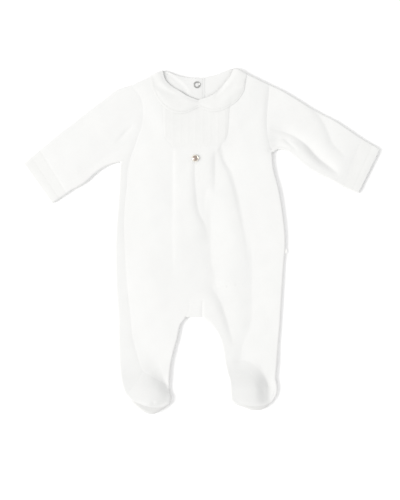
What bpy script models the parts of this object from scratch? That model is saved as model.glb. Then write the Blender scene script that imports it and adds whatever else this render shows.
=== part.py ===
"""Footed baby sleepsuit, laid flat with its front up.

Every cut piece is a cloth wall of its own, 0.3 mm from its neighbours at the seams. The garment is
drawn in plan by fold lines that run down the body and cross named stations, and by short tables of
sections for the sleeves, feet and collar. One height rule gives the front layer, the back layer and
the soft roll at every folded edge, so that pieces which meet have the same height and normal there.
The neck points towards +Y, left is -X as seen from the front, and the back rests on Z = 0.
Tables are in millimetres.
"""

import math

import bmesh
import bpy
import numpy as np

MM = 0.001

# ---------------------------------------------------------------- driving sizes, in millimetres
CLOTH = 1.6            # wall of the soft cotton cloth
COLLAR_CLOTH = 2.0     # the collar is two cloths, turned out
SEAM_GAP = 0.3         # between pieces that are sewn together
LAP_GAP = 0.3          # between a piece and what lies on it
COLLAR_GAP = 0.7       # the collar lies loosely
FLAT_TOP = 6.8         # upper face of the front where two layers lie flat
EDGE_ROLL = 4.0        # how far in from a folded edge the cloth starts to turn down
FOOT_TOP = 9.5         # upper face of a foot beside its rounded forms
FOOT_ROLL = 13.0       # the roll at a foot's edge
FOOT_MID = 6.5         # height of the widest place round a foot
FOOT_START = (-190.0, -222.0)
NECK_LIFT = 2.9        # the back is raised at the neck by the collar that turns under it
NECK_CENTRE = (-5.0, 240.0)
NECK_LIFT_REACH = (78.0, 104.0)
PLEAT_HEIGHT = 1.8     # the box between the outer pleats stands this much higher
PLEAT_STEP = 2.5       # width of the step at a pleat's edge
PLEAT_START = (139.0, 130.0)
PLEAT_FADE = (30.0, -70.0)
CENTRE_GROOVE = 1.0    # depth of the centre pleat, and its half width
CENTRE_GROOVE_WIDTH = 3.0
LAP_LIFT = 1.9         # the inner lap of the back opening rides on the outer lap
LAP_RAMP = 6.0
LAP_FADE = (5.0, -15.0)
BUTTON_PLACE = (-10.0, 121.0)
BUTTON_WIDTH = 10.0
BUTTON_HEIGHT = 3.2
SNAP_WIDTH = 10.0
SNAP_HOLE = 5.0
SNAP_WALL = 0.9
SNAP_X = -7.5
SNAP_TOP_Y = 230.0
SNAP_SPACING = 50.0
SNAP_COUNT = 5
TAG_Y = -16.0
TAG_SIZE = (1.8, 6.0, 1.0)

# ---------------------------------------------------------------- the body, by stations and fold lines
STATION = ("shoulder", "yoke", "chest", "armhole", "bib_low", "bib_edge", "underarm", "side_top", "ribs",
           "waist", "belly", "hip", "seat", "crotch", "thigh", "knee", "calf", "shin", "ankle")
STATION_Y = (250, 222, 196, 172, 153, 139, 124, 106, 76, 42, 0, -45, -90, -114, -126, -146, -166, -185, -205)

# x of each fold line at each station, from the shoulder down
FOLD_LINE_X = {
    # front layer
    "side_left": (-105, -92.5, -87.3, -88.3, -95, -99.5, -105, -110, -111.7, -115, -114.7, -112.3, -108.5,
                  -105.5, -104.5, -102.5, -97, -91, -87),
    "pleat_left": (-58.3, -61, -58, -57, -55, -44.4, -44.4, -44.5, -45, -45.5, -46.5, -41, -19.5,
                   -23.5, -31.5, -36, -41.5, -45.5, -48.4),
    "centre": (-5, -5, -6.5, -8, -9.5, -10.5, -11, -12, -12, -7, 5, 5, 0.7, 0.7, 14, 26, 30.8, 33.5, 38.2),
    "pleat_right": (47.5, 48.5, 41.5, 39.5, 37, 28, 30, 38, 48.8, 56.5, 65.5, 70, 70.5, 70.5, 70, 66, 60, 56, 70),
    "side_right": (99.5, 98.7, 97, 95.6, 97.5, 101, 104.3, 106.5, 114.3, 120, 123.9, 120.8, 118,
                   116.6, 115.8, 114, 112.7, 111.3, 109.5),
    # back layer; below the armhole its left half comes round to the front as far as side_left
    "back_left": (-105, -98, -96, -96, -98, -103, -112, -121.4, -123.8, -126.3, -129.1, -129.1, -127,
                  -125, -124.9, -124.9, -124.6, -123.6, -121.6),
    "seat_left": (-58.3, -27, -27, -27, -27, -27, -27, -27, -27, -27, -27, -27, -19.5,
                  -23.5, -31.5, -36, -41.5, -45.5, -48.4),
    "seat_right": (47.5, 27, 27, 27, 27, 27, 27, 27, 27, 27, 27, 25, 0.7, 0.7, 14, 26, 30.8, 33.5, 38.2),
    "back_right": (99.5, 94, 91, 91, 94, 99, 104.3, 106.5, 114.3, 120, 123.9, 120.8, 118,
                   116.6, 115.8, 114, 112.7, 111.3, 109.5),
    # edges of the back opening, down to the seat
    "inner_lap": (4.4, 4.4, 4.4, 4.4, 4.4, 4.4, 4.4, 4.4, 4.4, 4.4, -7.3, -7.3, -7.3),
    "outer_lap": (-19.4, -19.4, -19.4, -19.4, -19.4, -19.4, -19.4, -19.4, -19.4, -19.4, -7.3, -7.3, -7.3),
}

# where a fold line leaves its station's height
FOLD_LINE_Y = {
    "side_left": {"shoulder": 229.5, "yoke": 213, "ankle": -193},
    "pleat_left": {"shoulder": 251, "yoke": 226, "ankle": -216},
    "centre": {"shoulder": 208, "yoke": 202, "chest": 190, "armhole": 170},
    "pleat_right": {"shoulder": 255, "yoke": 230, "shin": -183, "ankle": -196},
    "side_right": {"shoulder": 231, "yoke": 213, "underarm": 128},
    "back_left": {"shoulder": 229.5, "yoke": 213, "side_top": 115.8},
    "seat_left": {"shoulder": 251, "yoke": 224, "ankle": -216},
    "seat_right": {"shoulder": 255, "yoke": 226},
    "back_right": {"shoulder": 231, "yoke": 213, "underarm": 128},
    "inner_lap": {"shoulder": 239.8},
    "outer_lap": {"shoulder": 239.8},
}

# ---------------------------------------------------------------- sleeves, by sections from the armhole
# columns: upper edge x, y, lower edge x, y
SLEEVE_SECTIONS = {
    "left": ((-105, 229.5, -121.4, 115.8), (-127.3, 222, -131, 113.5), (-151, 204.6, -143, 108.5),
             (-173.2, 188.3, -157, 99), (-192.4, 172.5, -170, 87), (-210.2, 159.5, -182, 79),
             (-226, 146.5, -192, 74), (-240.5, 134.3, -199.8, 68.5)),
    "right": ((99.5, 231, 104.3, 128), (118, 222.3, 113, 134.5), (140.6, 209.1, 126, 131),
              (160, 197, 138, 121.5), (178, 187, 152, 109.5), (196.8, 177.5, 171, 98),
              (216, 165, 190, 89), (236.8, 151, 208.7, 79)),
}
CUFF_END = {"left": (-263.2, 114.3, -220.5, 54.4), "right": (263.4, 135.5, 230.9, 69)}

# ---------------------------------------------------------------- feet
# curves as (x, y) rows. outer, inner and tip lie on the folded outline; ankle_side and seam bound the
# upper of the foot, which starts at the end of the leg
FOOT = {
    "left": {
        "outer": ((-121.6, -205), (-119.6, -215), (-116.5, -223.5), (-112, -230.5)),
        "inner": ((-48.4, -216), (-48.4, -223), (-45.2, -232), (-46.5, -242)),
        "tip": ((-112, -230.5), (-101, -242), (-89, -252), (-75, -257.4), (-60, -251.5), (-46.5, -242)),
        "seam": ((-112, -230.5), (-100, -236.5), (-88, -242), (-75, -246), (-60, -246), (-46.5, -242)),
        "ankle_side": ((-87, -193), (-91, -201), (-98, -211), (-106, -221), (-112, -230.5)),
    },
    "right": {
        "outer": ((109.5, -205), (111.6, -217), (109.8, -229), (104.5, -238.5)),
        "inner": ((38.2, -205), (38.6, -215), (38.8, -225), (39.5, -236)),
        "tip": ((104.5, -238.5), (91, -249.4), (76, -251.4), (62.6, -247.4), (49.4, -242.6), (39.5, -236)),
        "seam": ((104.5, -238.5), (91, -243.5), (77, -244.5), (64, -243.5), (51, -240.5), (39.5, -236)),
        "ankle_side": ((70, -196), (79, -205), (87, -219), (95, -231), (104.5, -238.5)),
    },
}
# rounded forms that fill the feet out. columns: centre x, y, half width, half length, turn, height
FOOT_MOUNDS = (
    (-88.0, -230.0, 30.0, 23.0, -20.0, 13.0),
    (-57.0, -236.0, 17.0, 19.0, 0.0, 8.0),
    (57.0, -224.0, 29.0, 24.0, -12.0, 13.5),
    (93.0, -236.0, 20.0, 17.0, 35.0, 5.0),
)

# ---------------------------------------------------------------- collar, by sections round the neck
# columns: neck edge x, y, outer edge x, y; front centre first, then the shoulder, then the back centre
COLLAR_SECTIONS = {
    "right": ((-4.6, 207.4, -3.6, 197.5), (2.0, 210.0, 5.5, 192.6), (10.0, 212.6, 16.0, 190.2),
              (18.5, 217.0, 29.0, 191.8), (27.0, 225.0, 42.0, 198.0), (35.0, 234.4, 54.5, 208.6),
              (41.8, 243.2, 62.5, 223.0), (47.5, 255.0, 66.0, 246.4), (45.0, 254.0, 60.5, 233.0),
              (34.0, 250.5, 46.0, 224.0), (19.2, 244.6, 26.0, 217.0), (-4.0, 239.9, -4.0, 213.0)),
    "left": ((-6.4, 207.4, -7.0, 197.5), (-14.0, 210.4, -17.0, 190.6), (-23.5, 214.6, -28.5, 187.2),
             (-33.0, 220.6, -43.0, 189.0), (-42.0, 227.6, -55.5, 196.6), (-48.5, 233.4, -66.0, 208.6),
             (-53.6, 240.4, -73.6, 224.0), (-58.3, 251.0, -76.5, 242.6), (-54.6, 249.8, -70.0, 231.0),
             (-45.0, 246.6, -56.0, 222.0), (-30.0, 241.8, -36.0, 215.6), (-11.0, 239.9, -11.0, 213.0)),
}
SHOULDER_SECTION = 7


# ---------------------------------------------------------------- curves
def smooth(rows, at):
    """Smooth curve through the rows of a table, read at row numbers such as 2.5."""
    rows = np.asarray(rows, float)
    at = np.clip(np.asarray(at, float), 0, len(rows) - 1)
    step = np.minimum(at.astype(int), len(rows) - 2)
    u = (at - step)[..., None]
    before = rows[np.maximum(step - 1, 0)]
    start = rows[step]
    end = rows[step + 1]
    after = rows[np.minimum(step + 2, len(rows) - 1)]
    lead_in = (end - before) / 2
    lead_out = (after - start) / 2
    bend = 3 * (end - start) - 2 * lead_in - lead_out
    twist = 2 * (start - end) + lead_in + lead_out
    return start + lead_in * u + bend * u**2 + twist * u**3


def fold_line(name, first, last, at):
    """Points of a fold line between two stations, at fractions from 0 to 1."""
    y = [FOLD_LINE_Y.get(name, {}).get(station, level) for station, level in zip(STATION, STATION_Y)]
    x = FOLD_LINE_X[name]
    rows = np.column_stack([x, y[:len(x)]])
    low, high = STATION.index(first), STATION.index(last)
    return smooth(rows, low + (high - low) * np.asarray(at, float))


def rise(value, low, high):
    """Soft step from 0 at low to 1 at high."""
    u = np.clip((value - low) / (high - low), 0, 1)
    return u * u * (3 - 2 * u)


def at_height(name, y):
    """x of a fold line where it crosses the heights y."""
    points = fold_line(name, "shoulder", "seat", np.linspace(0, 1, 121))
    return np.interp(-y, -points[:, 1], points[:, 0])


def dense(rows, count=24):
    """Smooth curve through the rows as closely spaced points."""
    return smooth(rows, np.linspace(0, len(rows) - 1, count))


def along(curve, fractions):
    """Points of a dense curve at fractions of its length."""
    length = np.concatenate([[0], np.cumsum(np.hypot(*np.diff(curve, axis=0).T))])
    at = np.asarray(fractions, float) * length[-1]
    return np.column_stack([np.interp(at, length, curve[:, k]) for k in (0, 1)])


# ---------------------------------------------------------------- folded outline
def sleeve_edge(side, edge):
    """Upper or lower edge of a sleeve and its cuff, from the armhole out."""
    rows = np.array(SLEEVE_SECTIONS[side] + (CUFF_END[side],))
    return dense(rows[:, :2] if edge == "upper" else rows[:, 2:], 48)


def folded_outline():
    """The three runs of the outline where the cloth folds or is sewn, with the garment on their left."""
    body = np.linspace(0, 1, 120)
    leg = np.linspace(0, 1, 48)
    left_foot, right_foot = FOOT["left"], FOOT["right"]
    lower = np.vstack([
        sleeve_edge("left", "lower")[::-1],
        fold_line("back_left", "side_top", "ankle", body),
        dense(left_foot["outer"]), dense(left_foot["tip"], 48), dense(left_foot["inner"])[::-1],
        fold_line("pleat_left", "crotch", "ankle", leg)[::-1],
        fold_line("centre", "crotch", "ankle", leg),
        dense(right_foot["inner"]), dense(right_foot["tip"], 48)[::-1], dense(right_foot["outer"])[::-1],
        fold_line("side_right", "underarm", "ankle", body)[::-1],
        sleeve_edge("right", "lower"),
    ])
    neck_left = fold_line("pleat_left", "shoulder", "shoulder", [0])
    neck_right = fold_line("pleat_right", "shoulder", "shoulder", [0])
    upper_right = np.vstack([sleeve_edge("right", "upper")[::-1], neck_right])
    upper_left = np.vstack([neck_left, sleeve_edge("left", "upper")])
    return lower, upper_right, upper_left


def outline_segments():
    starts, ends = [], []
    for run in folded_outline():
        keep = np.concatenate([[True], np.hypot(*np.diff(run, axis=0).T) > 0.01])
        run = run[keep]
        starts.append(run[:-1])
        ends.append(run[1:])
    return np.vstack(starts), np.vstack(ends)


SEGMENT_START, SEGMENT_END = outline_segments()
AT_EDGE = 0.3     # closer than this, a point faces square out of the outline


def nearest_edge(points):
    """For each point: distance to the folded outline, outward direction, and the nearest place on it."""
    line = SEGMENT_END - SEGMENT_START
    length_2 = np.einsum("ij,ij->i", line, line)
    offset = points[:, None] - SEGMENT_START[None]
    u = np.clip(np.einsum("pij,ij->pi", offset, line) / length_2, 0, 1)
    gap = offset - u[..., None] * line
    distance_2 = np.einsum("pij,pij->pi", gap, gap)
    best = np.argmin(distance_2, axis=1)
    row = np.arange(len(points))
    distance = np.sqrt(distance_2[row, best])
    toward = -gap[row, best]
    square_on = np.column_stack([line[:, 1], -line[:, 0]]) / np.sqrt(length_2)[:, None]
    touching = distance_2 < (distance[:, None] + AT_EDGE / 4) ** 2
    square_on = touching @ square_on
    square_on /= np.maximum(np.linalg.norm(square_on, axis=1), 1e-9)[:, None]
    at_edge = (distance < AT_EDGE)[:, None]
    outward = np.where(at_edge, square_on, toward / np.maximum(distance, AT_EDGE)[:, None])
    return distance, outward, points + toward


# ---------------------------------------------------------------- heights
def footness(y):
    return rise(-y, -FOOT_START[0], -FOOT_START[1])


def neck_lift(x, y):
    reach = np.hypot(x - NECK_CENTRE[0], y - NECK_CENTRE[1])
    return NECK_LIFT * (1 - rise(reach, *NECK_LIFT_REACH))


def pleats(x, y):
    """The raised box between the outer pleats, and the groove of the centre pleat."""
    strength = rise(-y, -PLEAT_START[0], -PLEAT_START[1]) * (1 - rise(-y, -PLEAT_FADE[0], -PLEAT_FADE[1]))
    left, centre, right = (at_height(name, y) for name in ("pleat_left", "centre", "pleat_right"))
    box = rise(x, left, left + PLEAT_STEP) * (1 - rise(x, right - PLEAT_STEP, right))
    groove = np.exp(-((x - centre) / CENTRE_GROOVE_WIDTH) ** 2)
    return strength * (PLEAT_HEIGHT * box - CENTRE_GROOVE * groove)


def foot_mounds(x, y):
    height = np.zeros_like(x)
    for centre_x, centre_y, half_width, half_length, turn, top in FOOT_MOUNDS:
        angle = math.radians(turn)
        u = ((x - centre_x) * math.cos(angle) + (y - centre_y) * math.sin(angle)) / half_width
        v = ((y - centre_y) * math.cos(angle) - (x - centre_x) * math.sin(angle)) / half_length
        height = np.maximum(height, top * np.clip(1 - u * u - v * v, 0, 1) ** 1.2)
    return height


def inner_height(x, y, layer, lap):
    """Height of a layer's outer face away from the folded edges."""
    if layer == "top":
        flat = FLAT_TOP + (FOOT_TOP - FLAT_TOP) * footness(y)
        return flat + neck_lift(x, y) + pleats(x, y) + foot_mounds(x, y)
    height = neck_lift(x, y)
    if lap:
        fade = 1 - rise(-y, -LAP_FADE[0], -LAP_FADE[1])
        height = height + LAP_LIFT * fade * rise(x - at_height("seat_left", y), 0, LAP_RAMP)
    return height


def surface(grid, layer, on_fold, lap=False):
    """Places and outward normals of a layer's outer face over a plan grid. on_fold marks the points
    that lie on the folded outline."""
    plan = grid.reshape(-1, 2)
    marked = on_fold.reshape(-1)
    distance, outward, place = nearest_edge(plan)
    plan = np.where(marked[:, None], place, plan)
    distance = np.where(marked, 0.0, distance)
    x, y = plan.T
    foot = footness(y)
    roll = roll_width(y)
    middle = FLAT_TOP / 2 + (FOOT_MID - FLAT_TOP / 2) * foot + neck_lift(x, y)
    level = inner_height(x, y, layer, lap)
    cos = 1 - np.clip(distance / roll, 0, 1)
    sin = np.sqrt(1 - cos**2)
    z = middle + (level - middle) * sin
    probe = 0.25
    slope_x = (inner_height(x + probe, y, layer, lap) - inner_height(x - probe, y, layer, lap)) / (2 * probe)
    slope_y = (inner_height(x, y + probe, layer, lap) - inner_height(x, y - probe, layer, lap)) / (2 * probe)
    up = 1.0 if layer == "top" else -1.0
    depth = np.abs(level - middle)
    normal = np.column_stack([outward[:, 0] * depth * cos - up * slope_x * roll * sin * sin,
                              outward[:, 1] * depth * cos - up * slope_y * roll * sin * sin,
                              up * roll * sin])
    normal /= np.linalg.norm(normal, axis=1)[:, None]
    shape = grid.shape[:2] + (3,)
    return np.column_stack([plan, z]).reshape(shape), normal.reshape(shape)


# ---------------------------------------------------------------- grids
FOLD_MARGINS = np.array([1 - math.cos(math.radians(a)) for a in (45, 90)])   # shares of the roll
ROW_PITCH = 25.0
FOOT_ROWS = (0, 0.36, 0.71, 0.9, 1)   # along a foot, closer near its tip
SHOULDER_ROWS = (0.08, 0.23, 0.6, 1)  # down from the folded shoulder
SEAT_ROWS = (0.5, 0.83, 0.95, 1)      # down to the folded edge of the gusset
COLLAR_TURN = [EDGE_ROLL * (1 - math.cos(math.radians(a))) for a in (22.5, 45, 67.5, 90)]
STRIP_ROWS = (0, 0.15, 0.55, 1)       # from the tip of a foot up to its sole seam
ARMHOLE_FADE = 5                      # how soon a sleeve's rows straighten out from the armhole
MARGIN_SHARE = 0.7                    # the most of a row's width that its margins take


def stations(first, last):
    """Row numbers between two stations, a pitch or less apart and closer at folded edges, as
    fractions from 0 to 1."""
    low, high = STATION.index(first), STATION.index(last)
    rows = [float(low)]
    for k in range(low, high):
        steps = math.ceil((STATION_Y[k] - STATION_Y[k + 1]) / ROW_PITCH)
        parts = [(i + 1) / steps for i in range(steps)]
        if STATION[k] == "shoulder":
            parts = SHOULDER_ROWS
        elif STATION[k] == "seat":
            parts = SEAT_ROWS
        rows += [k + part for part in parts]
    return (np.array(rows) - low) / (high - low)


def roll_width(y):
    return EDGE_ROLL + (FOOT_ROLL - EDGE_ROLL) * footness(y)


def margins(kind, side):
    """Columns held beside a side of a grid, in millimetres from it, for each of its rows."""
    if kind == "fold":
        return roll_width(side[:, 1])[:, None] * FOLD_MARGINS
    widths = {"step": (PLEAT_STEP,), "ramp": (LAP_RAMP,), None: ()}
    return np.tile(np.array(widths[kind], float), (len(side), 1))


def across(left, right, count, kinds, holds):
    """Fractions across the rows between two sides. A hold of 0 spreads a row's columns evenly, and a
    hold of 1 keeps the margins of that side; a pair of holds changes from the first row to the last."""
    width = np.hypot(*(right - left).T)[:, None]
    width = np.maximum(width, 0.01)
    low, high = margins(kinds[0], left) / width, margins(kinds[1], right)[:, ::-1] / width
    taken = sum(part.max(axis=1, initial=0) for part in (low, high))
    squeeze = np.minimum(1, MARGIN_SHARE / np.maximum(taken, 1e-9))[:, None]
    low, high = low * squeeze, 1 - high * squeeze
    even = np.linspace(0, 1, count + 1)[None] * np.ones_like(width)
    held = even.copy()
    first, last = low.shape[1], count - high.shape[1]
    inner_low = low[:, -1:] if first else np.zeros_like(width)
    inner_high = high[:, :1] if last < count else np.ones_like(width)
    held[:, 1:first + 1] = low
    held[:, last:count] = high
    held[:, first:last + 1] = inner_low + (inner_high - inner_low) * np.linspace(0, 1, last - first + 1)[None]
    side = np.linspace(0, 1, count + 1)[None]
    share = np.linspace(0, 1, len(left))[:, None]
    hold_low, hold_high = (h[0] + (h[1] - h[0]) * share if isinstance(h, tuple) else h for h in holds)
    return even + (held - even) * (hold_low * (1 - side) + hold_high * side)


def lattice(left, right, columns, kinds=(None, None), holds=(1.0, 1.0), start=None, end=None, fade=1):
    """Plan grid between two sides. start and end are the points of its first and last rows, which the
    rows between follow, apart from the columns held beside a side. A higher fade makes them follow
    less far."""
    t = across(left, right, columns, kinds, holds)[..., None]
    grid = left[:, None] * (1 - t) + right[:, None] * t
    steps = [np.hypot(*np.diff(side, axis=0).T) for side in (left, right)]
    share = np.concatenate([[0], np.cumsum(steps[0] + steps[1])])
    share = (share / share[-1])[:, None] * np.ones(columns + 1)
    held = [margins(kind, side).shape[1] for kind, side in zip(kinds, (left, right))]
    fixed = np.r_[1:1 + held[0], columns - held[1]:columns]
    pull = (0 if start is None else start - grid[0], 0 if end is None else end - grid[-1])
    for offset, weight, row in ((pull[0], (1 - share) ** fade, 0), (pull[1], share**fade, -1)):
        weight[1:-1, fixed] = 0
        weight[0 if row else -1] = 0
        grid = grid + weight[..., None] * offset
    return grid


def side_mask(grid, sides):
    mask = np.zeros(grid.shape[:2], bool)
    places = {"left": np.s_[:, 0], "right": np.s_[:, -1], "start": np.s_[0], "end": np.s_[-1]}
    for side in sides:
        mask[places[side]] = True
    return mask


# ---------------------------------------------------------------- walls
RIM_ORDER = np.array((1.0, 0.137, 0.0))   # both pieces at a seam split their rims the same way


class Wall:
    """A cloth wall made of patches. Patches that share points join; every other edge gets a rim and
    is drawn back by half the seam gap."""

    def __init__(self, name, material):
        self.name = name
        self.material = material
        self.index = {}
        self.outer = []
        self.inner = []
        self.faces = []

    def point(self, outer, inner):
        key = tuple(int(round(v * 1000 + 0.137)) for v in outer)
        if key not in self.index:
            self.index[key] = len(self.outer)
            self.outer.append(outer)
            self.inner.append(inner)
        return self.index[key]

    def patch(self, grid, layer, folds=(), gap=None, cloth=CLOTH, lap=False):
        """Adds a patch on the top or bottom layer. folds are its sides on the folded outline. With a
        gap, the patch lies that far outside the layer."""
        place, normal = surface(grid, layer, side_mask(grid, folds), lap)
        outer = place if gap is None else place + normal * (gap + cloth)
        inner = place - normal * cloth if gap is None else place + normal * gap
        rows, columns = grid.shape[:2]
        ids = [[self.point(outer[i, j], inner[i, j]) for j in range(columns)] for i in range(rows)]
        down, over = grid[1:, :-1] - grid[:-1, :-1], grid[:-1, 1:] - grid[:-1, :-1]
        turned = (down[..., 0] * over[..., 1] - down[..., 1] * over[..., 0]).sum() < 0
        for i in range(rows - 1):
            for j in range(columns - 1):
                face = [ids[i][j], ids[i + 1][j], ids[i + 1][j + 1], ids[i][j + 1]]
                self.split(face[::-1] if turned == (layer == "top") else face)

    def split(self, face):
        """Adds a face as triangles, across its shorter diagonal."""
        face = [v for k, v in enumerate(face) if v != face[k - 1]]
        if len(face) == 4:
            a, b, c, d = (self.outer[v] for v in face)
            first = np.linalg.norm(c - a) < np.linalg.norm(d - b)
            order = (0, 1, 2, 0, 2, 3) if first else (0, 1, 3, 1, 2, 3)
            self.faces += [[face[k] for k in order[:3]], [face[k] for k in order[3:]]]
        elif len(face) == 3:
            self.faces.append(face)

    def free_edges(self):
        edges = {(face[k - 1], v): face for face in self.faces for k, v in enumerate(face)}
        return {edge: face for edge, face in edges.items() if edge[::-1] not in edges}

    def draw_back(self, outer, inner, edges):
        """Moves every free edge into its wall by half the seam gap, along the cloth."""
        inward = {}
        for (a, b), face in edges.items():
            corners = outer[face]
            facing = np.cross(corners[1] - corners[0], corners[2] - corners[0])
            step = np.cross(facing, outer[b] - outer[a])
            step /= max(np.linalg.norm(step), 1e-9)
            inward.setdefault(a, []).append(step)
            inward.setdefault(b, []).append(step)
        for v, steps in inward.items():
            total = np.sum(steps, axis=0)
            move = total / max(np.linalg.norm(total) ** 2 / len(steps), 0.35) * SEAM_GAP / 2
            outer[v] += move
            inner[v] += move

    def build(self):
        outer, inner = np.array(self.outer), np.array(self.inner)
        edges = self.free_edges()
        self.draw_back(outer, inner, edges)
        count = len(outer)
        rims = []
        for a, b in sorted(edges):
            rim = [b, a, a + count, b + count]
            if outer[a] @ RIM_ORDER < outer[b] @ RIM_ORDER:
                rim = rim[1:] + rim[:1]
            rims += [rim[:3], [rim[0], rim[2], rim[3]]]
        backs = [[v + count for v in reversed(face)] for face in self.faces]
        mesh = bpy.data.meshes.new(self.name)
        mesh.from_pydata((np.vstack([outer, inner]) * MM).tolist(), [], self.faces + backs + rims)
        return add_object(self.name, mesh, self.material)


def add_object(name, mesh, material, sharp=60):
    mesh.materials.append(MATERIALS[material])
    mesh.shade_smooth()
    mesh.set_sharp_from_angle(angle=math.radians(sharp))
    item = bpy.data.objects.new(name, mesh)
    bpy.context.scene.collection.objects.link(item)
    return item


def turned(name, profile, place, material, segments=16):
    """A turned piece from a profile of (radius, height) in millimetres, closed or from axis to axis."""
    shape = bmesh.new()
    corners = [shape.verts.new((r * MM, 0, h * MM)) for r, h in profile]
    pairs = list(zip(corners, corners[1:]))
    if profile[0][0] > 0:
        pairs.append((corners[-1], corners[0]))
    edges = [shape.edges.new(pair) for pair in pairs]
    bmesh.ops.spin(shape, geom=corners + edges, cent=(0, 0, 0), axis=(0, 0, 1), angle=math.tau,
                   steps=segments, use_duplicate=False)
    bmesh.ops.remove_doubles(shape, verts=shape.verts, dist=1e-6)
    bmesh.ops.recalc_face_normals(shape, faces=shape.faces)
    mesh = bpy.data.meshes.new(name)
    shape.to_mesh(mesh)
    shape.free()
    item = add_object(name, mesh, material, 35)
    item.location = [v * MM for v in place]
    return item


# ---------------------------------------------------------------- the body
COLUMNS = {"side": 7, "left_of_centre": 4, "right_of_centre": 7, "lap": 4, "wrap": 4, "gusset": 4,
           "bib": 10, "cuff": 7, "collar": 4}


def body_rows(line, first, last):
    return fold_line(line, first, last, stations(first, last))


def band(first, last, left, right, columns, kinds=(None, None), holds=(1.0, 1.0), **ends):
    """Grid of a band of the body between two fold lines, from one station to another."""
    return lattice(body_rows(left, first, last), body_rows(right, first, last), COLUMNS[columns],
                   kinds, holds, **ends)


def foot_rows(side, curve):
    """A side of a foot, as points that every piece along it shares."""
    return along(dense(FOOT[side][curve], 60), FOOT_ROWS)


def add_bands(wall, layer, rows):
    for first, last, left, right, columns, kinds, holds, folds in rows:
        wall.patch(band(first, last, left, right, columns, kinds, holds), layer, folds)


def front():
    """One panel with both legs. A notch at the seat holds the gusset. The right leg goes on beside
    the upper of its foot."""
    wall = Wall("front", "velour")
    fold_right, box_left, box_right = (None, "fold"), ("step", None), ("fold", "step")
    add_bands(wall, "top", (
        # first station, last station, left line, right line, columns, margins, holds, folded sides
        ("shoulder", "bib_edge", "side_left", "pleat_left", "side", fold_right, (0, 0), ("start",)),
        ("bib_edge", "seat", "side_left", "pleat_left", "side", fold_right, (0, 0), ()),
        ("seat", "crotch", "side_left", "pleat_left", "side", fold_right, (0, (0, 1)), ()),
        ("crotch", "ankle", "side_left", "pleat_left", "side", fold_right, (0, 1), ("right",)),
        ("bib_edge", "seat", "pleat_left", "centre", "left_of_centre", box_left, (1, 1), ()),
        ("bib_edge", "seat", "centre", "pleat_right", "right_of_centre", box_right, (0, 1), ()),
        ("seat", "crotch", "centre", "pleat_right", "right_of_centre", box_right, ((0, 1), 1), ()),
        ("crotch", "ankle", "centre", "pleat_right", "right_of_centre", box_right, (1, 1), ("left",)),
        ("shoulder", "bib_edge", "pleat_right", "side_right", "side", fold_right, (0, 0), ("start",)),
        ("bib_edge", "underarm", "pleat_right", "side_right", "side", fold_right, (0, (0, 1)), ()),
        ("underarm", "ankle", "pleat_right", "side_right", "side", fold_right, (0, 1), ("right",)),
    ))
    beside_foot = lattice(foot_rows("right", "ankle_side"), foot_rows("right", "outer"), COLUMNS["side"],
                          fold_right, (0, 1))
    wall.patch(beside_foot, "top", ("right",))
    return wall.build()


def neckline(sections):
    """Neck edge of the collar halves through the given sections, as (side, section) pairs."""
    return dense([COLLAR_SECTIONS[side][k][:2] for side, k in sections], 96)


def bib():
    wall = Wall("bib", "cotton")
    left = [("left", k) for k in range(SHOULDER_SECTION, -1, -1)]
    right = [("right", k) for k in range(SHOULDER_SECTION + 1)]
    neck = along(neckline(left + right), np.linspace(0, 1, COLUMNS["bib"] + 1))
    wall.patch(band("shoulder", "bib_edge", "pleat_left", "pleat_right", "bib", start=neck), "top")
    return wall.build()


def back_left():
    """Left half of the back. It carries the inner lap, and comes round to the front in a strip that
    runs down to the toes."""
    wall = Wall("back_left", "velour")
    folds = ("fold", "fold")
    add_bands(wall, "bottom", (
        ("shoulder", "underarm", "back_left", "seat_left", "side", folds, (0, 0), ("start",)),
        ("underarm", "side_top", "back_left", "seat_left", "side", folds, ((0, 1), 0), ()),
        ("side_top", "seat", "back_left", "seat_left", "side", folds, (1, 0), ("left",)),
        ("seat", "crotch", "back_left", "seat_left", "side", folds, (1, (0, 1)), ("left",)),
        ("crotch", "ankle", "back_left", "seat_left", "side", folds, (1, 1), ("left", "right")),
    ))
    sections = [("left", k) for k in range(SHOULDER_SECTION, len(COLLAR_SECTIONS["left"]))]
    neck = np.vstack([neckline(sections), fold_line("inner_lap", "shoulder", "seat", [0])])
    neck = along(neck, [0, *np.linspace(LAP_RAMP / np.hypot(*np.diff(neck, axis=0).T).sum(), 1, COLUMNS["lap"])])
    wall.patch(band("shoulder", "seat", "seat_left", "inner_lap", "lap", ("ramp", None), (1, 1), start=neck),
               "bottom", lap=True)
    wall.patch(wrap_band(), "top", ("left",))
    beside_foot = lattice(foot_rows("left", "outer"), foot_rows("left", "ankle_side"), COLUMNS["wrap"],
                          ("fold", None), (1, 0))
    wall.patch(beside_foot, "top", ("left",))
    return wall.build()


def wrap_band():
    return band("side_top", "ankle", "back_left", "side_left", "wrap", ("fold", None), (1, 0))


def back_right():
    """Right half of the back, with the outer lap."""
    wall = Wall("back_right", "velour")
    folds = ("fold", "fold")
    add_bands(wall, "bottom", (
        ("shoulder", "bib_edge", "seat_right", "back_right", "side", folds, (0, 0), ("start",)),
        ("bib_edge", "underarm", "seat_right", "back_right", "side", folds, (0, (0, 1)), ()),
        ("underarm", "seat", "seat_right", "back_right", "side", folds, (0, 1), ("right",)),
        ("seat", "crotch", "seat_right", "back_right", "side", folds, ((0, 1), 1), ("right",)),
        ("crotch", "ankle", "seat_right", "back_right", "side", folds, (1, 1), ("left", "right")),
    ))
    sections = [("right", k) for k in range(len(COLLAR_SECTIONS["right"]) - 1, SHOULDER_SECTION - 1, -1)]
    neck = np.vstack([fold_line("outer_lap", "shoulder", "seat", [0]), neckline(sections)])
    neck = along(neck, np.linspace(0, 1, COLUMNS["lap"] + 1))
    wall.patch(band("shoulder", "seat", "outer_lap", "seat_right", "lap", start=neck), "bottom")
    return wall.build()


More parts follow.
